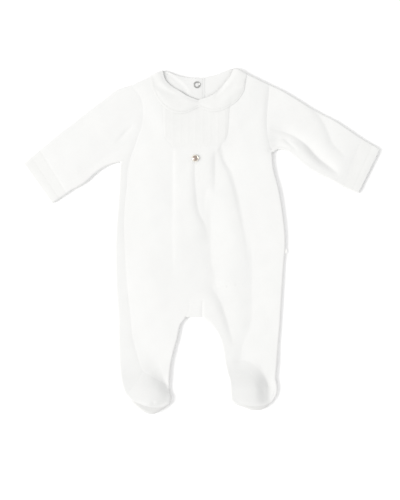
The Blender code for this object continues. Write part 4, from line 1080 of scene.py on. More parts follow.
def foot_upper(side):
    """Top of a foot, from the leg to the sole seam, beside the strip that goes on from the leg."""
    cloth = Cloth(f"foot_{side}_cloth", seam_detail)
    sides = [foot_rows(side, "ankle_side"), foot_rows(side, "inner")]
    kinds, folds = (None, "fold"), ("right",)
    if side == "right":
        sides, kinds, folds = sides[::-1], ("fold", None), ("left",)
    start = leg_end(side, "top")
    end = along(tip_points(side, "seam"), np.linspace(0, 1, len(start)))
    grid = lattice(*sides, len(start) - 1, kinds, start=start, end=end)
    cloth.patch(grid, "top", folds, seams=folds)
    return cloth.build()


def sole(side):
    """Underside of a foot, turned up round the toes as far as the sole seam."""
    cloth = Cloth(f"sole_{side}_cloth", seam_detail)
    sides = [foot_rows(side, curve) for curve in ("outer", "inner")]
    sides = sides if side == "left" else sides[::-1]
    tip, seam = tip_points(side, "tip"), tip_points(side, "seam")
    under = lattice(*sides, COLUMNS["side"], ("fold", "fold"), start=leg_end(side, "bottom"), end=tip)
    cloth.patch(under, "bottom", (*BOTH, "end"), seams=BOTH)
    share = STRIP_ROWS[:, None, None]
    cloth.patch(tip * (1 - share) + seam * share, "top", ("start",))
    return cloth.build()


# ---------------------------------------------------------------- sleeves and collar
def sleeve_rows(side, at):
    """Upper and lower edge of a sleeve and its cuff, at section numbers."""
    rows = smooth(SLEEVE_SECTIONS[side] + (CUFF_END[side],), at)
    return rows[:, :2], rows[:, 2:]


def armhole(side, layer):
    """Points that a sleeve shares with the body, from the shoulder to the underarm."""
    if side == "right":
        return body_rows("side_right" if layer == "top" else "back_right", "shoulder", "underarm")
    if layer == "bottom":
        return body_rows("back_left", "shoulder", "side_top")
    return np.vstack([body_rows("side_left", "shoulder", "underarm"), underarm_rows()[-1, 1:]])


def underarm_rows():
    """Rows that end in the left underarm, from the strip that comes round from the back to the
    sleeve. The sleeve's wedge lies between them."""
    strip = wrap_band()[0, ::-1]
    end, top = strip[-1], body_rows("side_left", "shoulder", "underarm")[-1]
    share = np.hypot(*(strip - end).T) / np.hypot(*(strip[0] - end))
    along_top = end + (top - end) * share[:, None]
    part = np.linspace(0, 1, UNDERARM_ROWS)[:, None, None]
    return strip * (1 - part) + along_top * part


def sleeve(side):
    """Tube from the armhole to the cuff."""
    cloth = Cloth(f"sleeve_{side}_cloth", seam_detail)
    if side == "left":
        cloth.patch(underarm_rows(), "top")
    last = len(SLEEVE_SECTIONS[side]) - 1
    edges = sleeve_rows(side, np.linspace(0, last, last * SLEEVE_ROWS + 1))
    for layer in ("top", "bottom"):
        start = armhole(side, layer)
        columns = len(start) - 1
        if layer == "bottom":
            start = along(start, across(edges[0][:1], edges[1][:1], columns, ("fold", "fold"), (1, 1))[0])
        grid = lattice(*edges, columns, ("fold", "fold"), start=start, fade=ARMHOLE_FADE)
        cloth.patch(grid, layer, BOTH)
    return cloth.build()


def cuff(side):
    """Tube from the sleeve to its open end."""
    cloth = Cloth(f"cuff_{side}_cloth", cuff_detail)
    last = len(SLEEVE_SECTIONS[side])
    edges = sleeve_rows(side, np.linspace(last - 1, last, CUFF_ROWS))
    grid = lattice(*edges, COLUMNS["cuff"], ("fold", "fold"))
    for layer in ("top", "bottom"):
        cloth.patch(grid, layer, BOTH, open_sides=("end",))
    return cloth.build()


def collar_grid(side, layer):
    """Half of the collar on one layer, from the folded shoulder to the front or back centre."""
    sections = COLLAR_SECTIONS[side]
    table = sections[SHOULDER_SECTION::-1] if layer == "top" else sections[SHOULDER_SECTION:]
    last = len(table) - 1
    rows = smooth(table, np.linspace(0, last, last * COLLAR_ROWS + 1))
    grid = lattice(rows[:, :2], rows[:, 2:], COLUMNS["collar"])
    step = grid[COLLAR_ROWS] - grid[0]
    length = np.hypot(*step.T)[:, None]
    most = np.linspace(0, COLLAR_TURN_SHARE, len(TURN) + 1)[1:, None, None] * length
    turn = grid[0] + step / length * np.minimum(EDGE_ROLL * TURN[:, None, None], most)
    return np.concatenate([grid[:1], turn, grid[COLLAR_ROWS:]])


def collar(side):
    """Half of the collar. It lies on the front, turns over the shoulder and lies under the back."""
    sizes = bpy.context.scene.sleepsuit_sizes
    cloth = Cloth(f"collar_{side}_cloth", collar_detail(side), COLLAR_GAP, sizes.collar_cloth)
    cloth.patch(collar_grid(side, "top"), "top", ("start",), open_sides=BOTH)
    cloth.patch(collar_grid(side, "bottom"), "bottom", ("start",), open_sides=(*BOTH, "end"))
    return cloth.build()


# ---------------------------------------------------------------- trims
# columns: radius and height, as shares of the trim's own, from the axis or the inner edge outwards
BUTTON_PROFILE = (
    (0, 0), (.84, 0), (.93, .05), (.98, .14), (1, .27), (.985, .42), (.94, .52), (.88, .56), (.82, .53),
    (.79, .5), (.76, .54), (.7, .64), (.6, .76), (.46, .88), (.3, .96), (.15, .99), (0, 1))
SNAP_PROFILE = (
    (.62, .05), (.7, 0), (.96, 0), (1, .25), (1, .6), (.97, .85), (.9, 1), (.8, .95), (.74, .7), (.7, .62),
    (.64, .66), (.6, .5), (.59, .25))
STANDING_POINTS = 24                  # places round a trim's rim where it may stand on the cloth
WELD = 1e-6                           # closer than this, turned points are one
BUTTON_SINK = 0.0006                  # the button sits up to this much lower than its solid
TAG_ROOT, TAG_SAG = 0.0012, 0.00025   # how far the tab goes into the seam, and how far its middle hangs
TAG_STEPS = 9                         # points round its fold, and rows across it


def mesh_piece(shape, name, sharp):
    """Object of a bmesh, with its faces turned outwards."""
    bmesh.ops.recalc_face_normals(shape, faces=shape.faces)
    mesh = bpy.data.meshes.new(name)
    shape.to_mesh(mesh)
    shape.free()
    return smooth_object(mesh, sharp)


def turned(name, shares, radius, height, place, segments=48):
    """A turned piece from a profile, which is a closed ring or runs from axis to axis."""
    shape = bmesh.new()
    corners = [shape.verts.new((radius * r, 0, height * h)) for r, h in shares]
    pairs = list(zip(corners, corners[1:]))
    if shares[0][0] > 0:
        pairs.append((corners[-1], corners[0]))
    edges = [shape.edges.new(pair) for pair in pairs]
    bmesh.ops.spin(shape, geom=corners + edges, cent=(0, 0, 0), axis=(0, 0, 1), angle=math.tau,
                   steps=segments, use_duplicate=False)
    bmesh.ops.remove_doubles(shape, verts=shape.verts, dist=WELD)
    bmesh.ops.translate(shape, vec=place, verts=shape.verts)
    return mesh_piece(shape, name, TURNED_SHARP)


def standing_on(x, y, radius, layer, lap=False):
    """Height in metres of the highest place of a layer's outer face under a round trim."""
    angle = np.linspace(0, math.tau, STANDING_POINTS, endpoint=False)
    ring_x = x + radius * np.concatenate([[0], np.cos(angle)])
    ring_y = y + radius * np.concatenate([[0], np.sin(angle)])
    return level(ring_x, ring_y, layer, lap).max() * MM


def button():
    """Domed metal button with a rolled rim and a shallow step inside it."""
    low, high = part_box("button")
    radius = (high.x - low.x) / 2
    x, y = BUTTON_PLACE
    base = max(low.z - BUTTON_SINK, standing_on(x, y, radius / MM, "top"))
    return turned("button_metal", BUTTON_PROFILE, radius, high.z - low.z, (x * MM, y * MM, base), 64)


def snap(number):
    """Open ring of a snap with a rolled rim, on the inner lap's inner side."""
    low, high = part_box(f"snap_{number}")
    centre, radius = (low + high) / 2, (high.x - low.x) / 2
    wall = bpy.context.scene.sleepsuit_sizes.cloth
    base = standing_on(centre.x / MM, centre.y / MM, radius / MM, "bottom", True) + wall
    return turned(f"snap_{number}_ring", SNAP_PROFILE, radius, high.z - low.z, (centre.x, centre.y, base))


def side_tag():
    """Soft tab of tape folded on itself, with its fold outwards."""
    low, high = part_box("side_tag")
    half, middle = (high.z - low.z) / 2, (low.z + high.z) / 2
    turns = [math.pi * (k / (TAG_STEPS - 1) - 0.5) for k in range(TAG_STEPS)]
    outline = [(high.x - half + half * math.cos(turn), half * math.sin(turn)) for turn in turns]
    outline = [(low.x - TAG_ROOT, -half), *outline, (low.x - TAG_ROOT, half)]
    shape = bmesh.new()
    rings = []
    for row in range(TAG_STEPS):
        share = row / (TAG_STEPS - 1)
        y, sag = low.y + (high.y - low.y) * share, TAG_SAG * math.sin(math.pi * share)
        rings.append([shape.verts.new((x, y, middle + z - sag)) for x, z in outline])
    for ring, after in zip(rings, rings[1:]):
        for k in range(len(ring)):
            shape.faces.new((ring[k - 1], after[k - 1], after[k], ring[k]))
    for ring in (rings[0], rings[-1]):
        shape.faces.new(ring)
    return mesh_piece(shape, "side_tag_tape", TAG_SHARP)


# ---------------------------------------------------------------- stitches, by Geometry Nodes
STITCH_RISE = 0.06            # how far a stitch's middle stands out of its dent
STITCH_UNDER = -0.02          # the same on the underside, where it goes in
STITCH_INSIDE = 0.03          # and out of the inner face of the back
CUFF_MARGIN = 2               # points left out at each end of a cuff's run
COLLAR_MARGIN = (6, 10)       # points left out at the front and at the shoulder of a collar's run
COLLAR_STITCH_POINTS = 160


def add_node(tree, kind, settings=None, inputs=None):
    """Adds a node with its settings and inputs, and returns its outputs."""
    node = tree.nodes.new(kind)
    for key, value in (settings or {}).items():
        setattr(node, key, value)
    for key, value in (inputs or {}).items():
        put(tree, node.inputs[key], value)
    return node.outputs


def put(tree, socket, value):
    """Links a socket to a socket, or sets a plain value on it."""
    if isinstance(value, bpy.types.NodeSocket):
        tree.links.new(value, socket)
    else:
        socket.default_value = value


def stitch_tree():
    """Node group that sets short rounded stitches along curves, with inputs for their sizes."""
    tree = bpy.data.node_groups.new("Stitch Row", "GeometryNodeTree")
    kinds = {"Geometry": "Geometry", "Spacing": "Float", "Length": "Float", "Thickness": "Float",
             "Slant": "Float", "Material": "Material"}
    for name, kind in kinds.items():
        tree.interface.new_socket(name, in_out="INPUT", socket_type=f"NodeSocket{kind}")
    tree.interface.new_socket("Geometry", in_out="OUTPUT", socket_type="NodeSocketGeometry")

    def add(kind, inputs=None, **settings):
        return add_node(tree, kind, settings, inputs)

    entry = add("NodeGroupInput")
    thickness, slant = entry["Thickness"], entry["Slant"]
    spaced = add("GeometryNodeResampleCurve", {"Curve": entry["Geometry"], "Length": entry["Spacing"]},
                 mode="LENGTH")[0]
    ball = add("GeometryNodeMeshUVSphere", {"Segments": 8, "Rings": 5, "Radius": 0.5})[0]
    size = add("ShaderNodeCombineXYZ", {"X": thickness, "Y": thickness, "Z": entry["Length"]})[0]
    tangent = add("GeometryNodeInputTangent")[0]
    jitter = add("FunctionNodeRandomValue", {2: -1.0, 3: 1.0, "Seed": 7}, data_type="FLOAT")[1]
    lean = add("ShaderNodeMath", {0: jitter, 1: slant}, operation="MULTIPLY")[0]
    aside = add("ShaderNodeCombineXYZ", {"X": lean, "Y": lean})[0]
    heading = add("ShaderNodeVectorMath", {0: tangent, 1: aside}, operation="ADD")[0]
    turn = add("FunctionNodeAlignRotationToVector", {"Vector": heading}, axis="Z")[0]
    placed = add("GeometryNodeInstanceOnPoints",
                 {"Points": spaced, "Instance": ball, "Rotation": turn, "Scale": size})[0]
    real = add("GeometryNodeRealizeInstances", {"Geometry": placed})[0]
    smoothed = add("GeometryNodeSetShadeSmooth", {"Geometry": real})[0]
    finished = add("GeometryNodeSetMaterial", {"Geometry": smoothed, "Material": entry["Material"]})[0]
    add("NodeGroupOutput", {"Geometry": finished})
    return tree


def stitch_rows(name, runs, material):
    """Plain mesh of stitches along runs of points, each in metres."""
    sizes = bpy.context.scene.sleepsuit_sizes
    curve = bpy.data.curves.new(name, "CURVE")
    curve.dimensions = "3D"
    for run in runs:
        spline = curve.splines.new("POLY")
        spline.points.add(len(run) - 1)
        spline.points.foreach_set("co", np.column_stack([run, np.ones(len(run))]).ravel())
    guide = linked(name + "_guide", curve)
    modifier = guide.modifiers.new("Stitches", "NODES")
    modifier.node_group = bpy.data.node_groups.get("Stitch Row") or stitch_tree()
    values = {"Spacing": sizes.stitch_spacing, "Length": sizes.stitch_length,
              "Thickness": sizes.stitch_thickness, "Slant": sizes.stitch_slant, "Material": material}
    for socket in modifier.node_group.interface.items_tree:
        if socket.in_out == "INPUT" and socket.name in values:
            modifier[socket.identifier] = values[socket.name]
    mesh = bpy.data.meshes.new_from_object(guide.evaluated_get(bpy.context.evaluated_depsgraph_get()))
    bpy.data.objects.remove(guide)
    mesh.name = name
    return linked(name, mesh)


def on_surface(plan, layer, lift, lap=False):
    """Points in metres on a layer's outer face, lifted off it by millimetres."""
    place, _ = surface(plan, layer, np.zeros(len(plan), bool), lap)
    place[:, 2] += lift if layer == "top" else -lift
    return place * MM


def cuff_stitch_runs(side):
    """Round a cuff at its hem, on both layers."""
    plan = thin(cuff_line(side, HEM_AT), 1.0)[CUFF_MARGIN:-CUFF_MARGIN]
    depth = TOPSTITCH_GROOVE[0]
    return [on_surface(plan, "top", depth + STITCH_RISE), on_surface(plan, "bottom", depth + STITCH_UNDER)]


def collar_stitch_run(side):
    """Along the outer edge of a collar half, from the front centre to the shoulder."""
    neck, edge = collar_edges(side, COLLAR_STITCH_POINTS)
    plan = (edge + unit(neck - edge) * COLLAR_STITCH)[COLLAR_MARGIN[0]:-COLLAR_MARGIN[1]]
    wall = bpy.context.scene.sleepsuit_sizes.collar_cloth / MM
    place = on_surface(plan, "top", COLLAR_GAP + wall + STITCH_RISE)
    place[:, 2] += collar_detail(side)(*plan.T, "top") * MM
    return place


def lap_stitch_runs():
    """Down both edges of the back opening: on the outside, and on the inside where the neck shows it."""
    inner, outer = (run[1:] for run in lap_runs("belly", 2.0))
    inside = bpy.context.scene.sleepsuit_sizes.cloth / MM + STITCH_INSIDE
    return [on_surface(outer, "bottom", TOPSTITCH_GROOVE[0] + STITCH_UNDER),
            on_surface(inner, "bottom", -inside, lap=True)]


# ---------------------------------------------------------------- shaders
class Term:
    """A socket in a shader tree that takes part in Python arithmetic. Each operation adds a Math node."""

    def __init__(self, paint, socket):
        self.paint = paint
        self.socket = socket

    def apply(self, operation, *others):
        return self.paint.add("ShaderNodeMath", {"operation": operation}, dict(enumerate([self, *others])))[0]

    def __add__(self, other):
        return self.apply("ADD", other)

    def __sub__(self, other):
        return self.apply("SUBTRACT", other)

    def __mul__(self, other):
        return self.apply("MULTIPLY", other)

    def __truediv__(self, other):
        return self.apply("DIVIDE", other)

    def wave(self, length):
        """From 0 to 1 and back over a length of this coordinate."""
        return (self * (math.tau / length)).apply("SINE") * 0.5 + 0.5

    def about(self, middle, spread):
        """This noise from 0 to 1, spread about a middle."""
        return (self - 0.5) * spread + middle

    def blend(self, other, share):
        """This term with a share of another in it."""
        return self * (1 - share) + other * share


def bare(value):
    """The socket of a term, or the value itself."""
    return value.socket if isinstance(value, Term) else value


class Paint:
    """A material whose nodes are added by type, settings and inputs."""

    def __init__(self, name):
        self.material = bpy.data.materials.new(name)
        self.material.use_nodes = True
        self.tree = self.material.node_tree
        self.where = self.add("ShaderNodeTexCoord")[3]    # object coordinates, unless they are turned

    def add(self, kind, settings=None, inputs=None):
        """Adds a node and returns its outputs as terms."""
        inputs = {key: bare(value) for key, value in (inputs or {}).items()}
        return [Term(self, socket) for socket in add_node(self.tree, kind, settings, inputs)]

    def turn(self, angle):
        """Turns the coordinates about Z."""
        self.where = self.add("ShaderNodeMapping", None, {"Vector": self.where, "Rotation": (0, 0, angle)})[0]

    def axes(self):
        return self.add("ShaderNodeSeparateXYZ", None, {0: self.where})

    def noise(self, per_metre, detail=2.0, roughness=0.5):
        inputs = {"Vector": self.where, "Scale": per_metre, "Detail": detail, "Roughness": roughness}
        return self.add("ShaderNodeTexNoise", {"noise_dimensions": "3D"}, inputs)[0]

    def mix(self, factor, first, second):
        """Mixes two colours."""
        return self.add("ShaderNodeMix", {"data_type": "RGBA"}, {0: factor, 6: first, 7: second})[2]

    def bump(self, height, distance, strength):
        return self.add("ShaderNodeBump", None,
                        {"Height": height, "Distance": distance, "Strength": strength})[0]

    def surface(self, **inputs):
        """Sets inputs of the shader, with an underscore for each space in their names, and returns the
        material."""
        shader = self.tree.nodes["Principled BSDF"]
        for key, value in inputs.items():
            put(self.tree, shader.inputs[key.replace("_", " ")], bare(value))
        return self.material

    def metal(self, base, hairs):
        """Metal of a base colour with fine hairlines, so many to a metre."""
        hair = self.noise(hairs, 1.0, 0.4)
        return self.surface(Base_Color=base, Metallic=1.0, Roughness=hair.about(METAL_ROUGHNESS, 0.1),
                            Normal=self.bump(hair, HAIR_DEPTH, 0.25))


# marks to a metre
PATCHES, WOBBLES, SLUBS, SHEENS, GRAINS = 38.0, 240.0, 85.0, 900.0, 420.0
SNAP_CLOUDS, SNAP_HAIRS, BUTTON_HAIRS = 300.0, 2700.0, 2600.0
FIBRES = 3.1                             # fibres to a tuft of the nap
COURSES = 1.3                            # courses of the knit to a wale
THREAD_TWIST, TAPE_RIB = 0.0005, 0.0004  # metres from one to the next
THREAD_DEPTH, TAPE_DEPTH, FLOOR_DEPTH, HAIR_DEPTH = 0.00004, 0.00005, 0.00004, 0.00002
METAL_ROUGHNESS = 0.3
HIGHLIGHT_RING_START, HIGHLIGHT_RING_SHARPNESS = 0.74, 12.0    # where the painted highlight ring at the rim begins, as a share of the radius, and how fast
CUFF_TURN = {"left": -57.0, "right": 64.0}    # degrees that line the cuffs' knit up with the sleeves


def shade(colour, factor=1.0):
    """A colour made lighter or darker, with its alpha."""
    return (*(channel * factor for channel in colour), 1.0)


def velour_material(name, colour):
    """Short soft pile: a fine uneven nap that catches light at its edges, in slightly brushed patches."""
    tuft = bpy.context.scene.sleepsuit_sizes.nap
    paint = Paint(name)
    pile = paint.noise(1 / tuft, 3.0, 0.65).blend(paint.noise(FIBRES / tuft, 2.0, 0.6), 0.35)
    patch = paint.noise(PATCHES)
    return paint.surface(
        Base_Color=paint.mix(pile.blend(patch, 0.5), shade(colour, 0.955), shade(colour, 1.03)),
        Roughness=patch.about(0.86, 0.12),
        Normal=paint.bump(pile, tuft * 0.42, 0.7),
        Sheen_Weight=0.3, Sheen_Roughness=0.45, Sheen_Tint=(1.0, 0.995, 0.985, 1.0),
        Specular_IOR_Level=0.2)


def cotton_material(name, colour, turn=0.0):
    """Fine plain cotton jersey: narrow wales with a short stitch rhythm, turned by degrees."""
    wale_width = bpy.context.scene.sleepsuit_sizes.knit
    paint = Paint(name)
    if turn:
        paint.turn(math.radians(turn))
    wobble = (paint.noise(WOBBLES, 1.0) - 0.5) * wale_width
    x, y, _ = paint.axes()
    wale = (x + wobble * 0.5).wave(wale_width)
    course = (y + wobble * 0.4).wave(wale_width / COURSES)
    knit = wale * (course * 0.45 + 0.55)
    slub = paint.noise(SLUBS)
    return paint.surface(
        Base_Color=paint.mix(knit.blend(slub, 0.45), shade(colour, 0.95), shade(colour, 1.025)),
        Roughness=slub.about(0.78, 0.14),
        Normal=paint.bump(knit, wale_width * 0.14, 0.55),
        Sheen_Weight=0.12, Sheen_Roughness=0.5, Specular_IOR_Level=0.25)


def thread_material(name, colour):
    """Twisted sewing thread."""
    paint = Paint(name)
    x, y, z = paint.axes()
    twist = (x + y + z).wave(THREAD_TWIST)
    return paint.surface(Base_Color=paint.mix(twist, shade(colour, 0.9), shade(colour)), Roughness=0.6,
                         Normal=paint.bump(twist, THREAD_DEPTH, 0.6), Specular_IOR_Level=0.3)


def tape_material(name, colour):
    """Woven satin tape with a fine cross rib."""
    paint = Paint(name)
    rib = paint.axes()[1].wave(TAPE_RIB)
    soft = paint.noise(SHEENS)
    return paint.surface(Base_Color=paint.mix(rib.blend(soft, 0.4), shade(colour, 0.9), shade(colour)),
                         Roughness=soft.about(0.5, 0.16), Normal=paint.bump(rib, TAPE_DEPTH, 0.6))


def snap_material(name, colour):
    """Plated metal, a little darker where it is rubbed."""
    paint = Paint(name)
    return paint.metal(paint.mix(paint.noise(SNAP_CLOUDS, 3.0, 0.6), shade(colour), shade(colour, 0.7)),
                       SNAP_HAIRS)


def button_material(name, colour):
    """Brushed brown metal, darkened on the dome as painted reflection, with a painted highlight at its rim.
    """
    paint = Paint(name)
    x, y, _ = paint.axes()
    east, north = x - BUTTON_PLACE[0] * MM, y - BUTTON_PLACE[1] * MM
    low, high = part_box("button")
    distance = (east * east + north * north).apply("SQRT") / ((high.x - low.x) / 2)
    # painted highlight: a ring of bright colour round the rim, set by distance from the centre
    rim = ((distance - HIGHLIGHT_RING_START) * HIGHLIGHT_RING_SHARPNESS).apply("MAXIMUM", 0.0).apply("MINIMUM", 1.0)
    # the dome's dark brown is partly the metal's own tone and partly painted dark reflection
    dome = paint.mix(paint.noise(GRAINS, 3.0, 0.6), shade(colour, 0.8), shade(colour, 1.15))
    highlight_ring_colour = shade(bpy.context.scene.sleepsuit_colours.button_highlight_ring)
    return paint.metal(paint.mix(rim, dome, highlight_ring_colour), BUTTON_HAIRS)


def floor_material(name, colour):
    """Matt studio board with a trace of tooth."""
    paint = Paint(name)
    tooth = paint.noise(GRAINS)
    return paint.surface(Base_Color=paint.mix(tooth, shade(colour, 0.995), shade(colour)), Roughness=0.9,
                         Normal=paint.bump(tooth, FLOOR_DEPTH, 0.2), Specular_IOR_Level=0.1)


# the sole is velour in a darker colour, painted shade on the strip where it turns up under the toes
MATERIALS = {
    "velour": velour_material, "sole": velour_material, "cotton": cotton_material, "thread": thread_material,
    "tape": tape_material, "snap": snap_material, "button": button_material, "floor": floor_material,
}


def material_of(name, side=None):
    """One of the shared materials, made when it is first asked for. A side gives a cuff's own."""
    key = f"suit_{name}_{side}" if side else f"suit_{name}"
    found = bpy.data.materials.get(key)
    if found:
        return found
    turn = [CUFF_TURN[side]] if side else []
    return MATERIALS[name](key, getattr(bpy.context.scene.sleepsuit_colours, name), *turn)


# ---------------------------------------------------------------- properties
def number_property(name, description, default, low, high, **kind):
    """A number between two limits."""
    return FloatProperty(name=name, description=description, default=default, min=low, max=high, **kind)


def length_property(*settings):
    """A length in metres, shown to a hundredth of a millimetre."""
    return number_property(*settings, unit="LENGTH", precision=5)


def colour_property(name, description, default):
    """A colour without alpha."""
    return FloatVectorProperty(name=name, description=description, subtype="COLOR", size=3, min=0.0, max=1.0,
                               default=default)


class SleepsuitSizes(bpy.types.PropertyGroup):
    """Sizes of the cloth, its tucks and its stitches"""

    cloth: length_property("Cloth", "Thickness of the soft cloth", 0.0012, 0.0008, 0.003)
    collar_cloth: length_property("Collar Cloth", "Thickness of the doubled collar", 0.0012, 0.001, 0.004)
    pleat_height: length_property("Pleat Height",
                                  "How high the box between the pleats stands", 0.0003, 0.0, 0.004)
    fold_depth: number_property("Fold Depth", "Scales the height of every fold and crease", 1.0, 0.0, 2.0)
    unevenness: length_property("Unevenness", "Height of the cloth's gentle waves", 0.00028, 0.0, 0.002)
    tuck_height: length_property("Tuck Height", "How far a pin tuck of the bib stands up", 0.0001, 0.0, 0.002)
    tuck_width: length_property("Tuck Width", "Half width of a pin tuck", 0.0014, 0.0003, 0.003)
    tuck_spacing: length_property("Tuck Spacing", "Distance between pin tucks", 0.011, 0.003, 0.03)
    stitch_length: length_property("Stitch Length", "Length of one stitch", 0.0019, 0.0005, 0.006)
    stitch_spacing: length_property("Stitch Spacing", "From one stitch to the next", 0.0026, 0.001, 0.01)
    stitch_thickness: length_property("Stitch Thickness", "Thickness of the thread", 0.00034, 0.0001, 0.001)
    stitch_slant: number_property("Stitch Slant", "How far a stitch may lean off its line", 0.06, 0.0, 0.5)
    nap: length_property("Nap", "Size of the tufts of the pile", 0.0009, 0.0002, 0.005)
    knit: length_property("Knit", "Width of one wale of the jersey", 0.0009, 0.0003, 0.005)


class SleepsuitColours(bpy.types.PropertyGroup):
    """Colours of the cloths, the trims and the floor"""

    velour: colour_property("Velour", "Colour of the soft body cloth", (0.74, 0.743, 0.737))
    # painted shade: the soles' darker colour darkens the strip where each sole turns up under the toes
    sole: colour_property("Sole", "Colour of the soles, whose pile is worn the other way",
                          (0.685, 0.686, 0.678))
    cotton: colour_property("Cotton", "Colour of the bib, collar and cuffs", (0.735, 0.738, 0.73))
    thread: colour_property("Thread", "Colour of the sewing thread", (0.735, 0.737, 0.725))
    tape: colour_property("Tape", "Colour of the tab in the side seam", (0.97, 0.965, 0.95))
    # the button's metal colour is kept dark: partly its own brown tone, partly painted dark reflection
    button: colour_property("Button", "Colour of the button's metal", (0.44, 0.37, 0.33))
    # painted highlight: the bright ring of colour at the button's rim
    button_highlight_ring: colour_property("Button Rim", "Colour of the button's bright rim", (0.93, 0.88, 0.78))
    snap: colour_property("Snap", "Colour of the snap rings", (0.5, 0.5, 0.49))
    floor: colour_property("Floor", "Colour of the floor", (0.96, 0.96, 0.96))


class SleepsuitStage(bpy.types.PropertyGroup):
    """Light, exposure and floor of the studio"""

    key_power: number_property("Key Light",
                               "Power of the light at the left", 400.0, 0.0, 2000.0, unit="POWER")
    sky: number_property("Sky", "Strength of the light from all round", 0.925, 0.0, 4.0)
    exposure: number_property("Exposure", "Exposure of the picture", 0.0, -4.0, 4.0)
    floor_size: number_property("Floor Size", "Side of the square floor", 30.0, 1.0, 60.0, unit="LENGTH")


# ---------------------------------------------------------------- stage
FLOOR_Z = -0.0002
KEY_PLACE = (-6.1, -1.1, 4.9)
KEY_SIZE = 4.5
KEY_COLOUR = (1.0, 0.985, 0.96)
LENS, SENSOR = 85.0, 36.0
VIEW_LENGTH = 0.740           # metres of the floor along the picture's long side
CAMERA_AT = (-0.00296, -0.01443)
CAMERA_FOCUS_Z = 0.004


def make_floor(size):
    """Square floor, just under the garment."""
    corners = [(x * size / 2, y * size / 2, FLOOR_Z) for x, y in ((-1, -1), (1, -1), (1, 1), (-1, 1))]
    floor = new_mesh_object("floor", np.array(corners), np.array([(0, 1, 2, 3)]))
    floor.data.materials.append(material_of("floor"))


def make_key_light(power):
    """Soft square light at the left, facing the middle of the garment."""
    light = bpy.data.lights.new("key", "AREA")
    light.shape, light.size, light.energy, light.color = "SQUARE", KEY_SIZE, power, KEY_COLOUR
    item = linked("key", light)
    item.location = KEY_PLACE
    x, y, z = KEY_PLACE
    item.rotation_euler = (math.acos(z / math.hypot(x, y, z)), 0, math.atan2(x, -y))


def make_sky(strength):
    """Even white light from all round."""
    world = bpy.data.worlds.new("studio")
    world.use_nodes = True
    inputs = world.node_tree.nodes["Background"].inputs
    inputs["Color"].default_value = (1.0, 1.0, 1.0, 1.0)
    inputs["Strength"].default_value = strength
    bpy.context.scene.world = world


def make_camera():
    """Camera straight above the garment."""
    camera = bpy.data.cameras.new("camera")
    camera.lens, camera.sensor_width = LENS, SENSOR
    item = linked("camera", camera)
    item.location = (*CAMERA_AT, VIEW_LENGTH * LENS / SENSOR + CAMERA_FOCUS_Z)
    bpy.context.scene.camera = item


def cloth_piece(item, material, slot):
    """Finishes a piece of cloth, which stands for the node it is named after. Its slot is not used."""
    finish_piece(item, material, slot, item.name.removesuffix("_cloth"))


class SLEEPSUIT_OT_stage(bpy.types.Operator):
    """Make the floor, the lights and the camera"""

    bl_idname = "sleepsuit.stage"
    bl_label = "Stage"

    def execute(self, context):
        stage = context.scene.sleepsuit_stage
        make_floor(stage.floor_size)
        make_key_light(stage.key_power)
        make_sky(stage.sky)
        make_camera()
        context.scene.view_settings.view_transform = "Standard"
        context.scene.view_settings.exposure = stage.exposure
        return {"FINISHED"}


class SLEEPSUIT_OT_body(bpy.types.Operator):
    """Build the front, both halves of the back and the gusset"""

    bl_idname = "sleepsuit.body"
    bl_label = "Body"

    def execute(self, context):
        for make in (front, back_left, back_right, gusset):
            cloth_piece(make(), material_of("velour"), "velour")
        return {"FINISHED"}


class SLEEPSUIT_OT_bib(bpy.types.Operator):
    """Build the bib with its pin tucks"""

    bl_idname = "sleepsuit.bib"
    bl_label = "Bib"

    def execute(self, context):
        cloth_piece(bib(), material_of("cotton"), "cotton")
        return {"FINISHED"}


class SLEEPSUIT_OT_sleeves(bpy.types.Operator):
    """Build both sleeves with their cuffs"""

    bl_idname = "sleepsuit.sleeves"
    bl_label = "Sleeves and Cuffs"

    def execute(self, context):
        for side in BOTH:
            cloth_piece(sleeve(side), material_of("velour"), "velour")
            cloth_piece(cuff(side), material_of("cotton", side), "cotton")
        return {"FINISHED"}


class SLEEPSUIT_OT_collar(bpy.types.Operator):
    """Build both halves of the collar"""

    bl_idname = "sleepsuit.collar"
    bl_label = "Collar"

    def execute(self, context):
        for side in BOTH:
            cloth_piece(collar(side), material_of("cotton"), "cotton")
        return {"FINISHED"}


class SLEEPSUIT_OT_feet(bpy.types.Operator):
    """Build the uppers and soles of both feet"""

    bl_idname = "sleepsuit.feet"
    bl_label = "Feet"

    def execute(self, context):
        for side in BOTH:
            cloth_piece(foot_upper(side), material_of("velour"), "velour")
            # the soles take the darker sole colour, painted shade under the toes
            cloth_piece(sole(side), material_of("sole"), "velour")
        return {"FINISHED"}


class SLEEPSUIT_OT_trims(bpy.types.Operator):
    """Build the button, the snap rings and the tab in the side seam"""

    bl_idname = "sleepsuit.trims"
    bl_label = "Trims"

    def execute(self, context):
        finish_piece(button(), material_of("button"), "brass", "button")
        for number in range(1, SNAP_COUNT + 1):
            finish_piece(snap(number), material_of("snap"), "steel", f"snap_{number}")
        finish_piece(side_tag(), material_of("tape"), "tape", "side_tag")
        return {"FINISHED"}


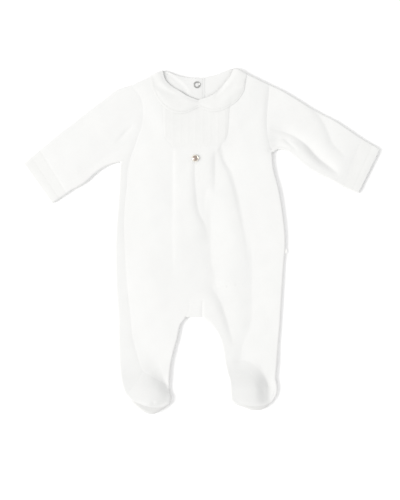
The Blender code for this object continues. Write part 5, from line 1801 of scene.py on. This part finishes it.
class SLEEPSUIT_OT_stitching(bpy.types.Operator):
    """Set the topstitching of the cuffs, the collar and the back opening"""

    bl_idname = "sleepsuit.stitching"
    bl_label = "Stitching"

    def execute(self, context):
        thread = material_of("thread")
        rows = {"stitches_back_opening": lap_stitch_runs()}
        for side in BOTH:
            rows[f"stitches_cuff_{side}"] = cuff_stitch_runs(side)
            rows[f"stitches_collar_{side}"] = [collar_stitch_run(side)]
        for name, runs in rows.items():
            finish_piece(stitch_rows(name, runs, thread), thread, "cotton")
        return {"FINISHED"}


class SLEEPSUIT_PT_panel(bpy.types.Panel):
    """Lists the sizes, the colours and the steps"""

    bl_idname = "SLEEPSUIT_PT_panel"
    bl_label = "Sleepsuit"
    bl_space_type = "VIEW_3D"
    bl_region_type = "UI"
    bl_category = "Sleepsuit"

    def draw(self, context):
        for name in GROUPS:
            group, box = getattr(context.scene, name), self.layout.box()
            for key in group.bl_rna.properties.keys():
                if key not in ("rna_type", "name"):
                    box.prop(group, key)
        for step in STEPS:
            self.layout.operator(f"sleepsuit.{step}")


GROUPS = {"sleepsuit_sizes": SleepsuitSizes, "sleepsuit_colours": SleepsuitColours,
          "sleepsuit_stage": SleepsuitStage}
STEPS = ("stage", "body", "bib", "sleeves", "collar", "feet", "trims", "stitching")
CLASSES = (*GROUPS.values(), SLEEPSUIT_OT_stage, SLEEPSUIT_OT_body, SLEEPSUIT_OT_bib, SLEEPSUIT_OT_sleeves,
           SLEEPSUIT_OT_collar, SLEEPSUIT_OT_feet, SLEEPSUIT_OT_trims, SLEEPSUIT_OT_stitching,
           SLEEPSUIT_PT_panel)


def register():
    for item in CLASSES:
        bpy.utils.register_class(item)
    for name, group in GROUPS.items():
        setattr(bpy.types.Scene, name, PointerProperty(type=group))


def unregister():
    for name in GROUPS:
        delattr(bpy.types.Scene, name)
    for item in reversed(CLASSES):
        bpy.utils.unregister_class(item)


def main():
    register()
    for step in STEPS:
        getattr(bpy.ops.sleepsuit, step)()


if __name__ == "__main__":
    main()
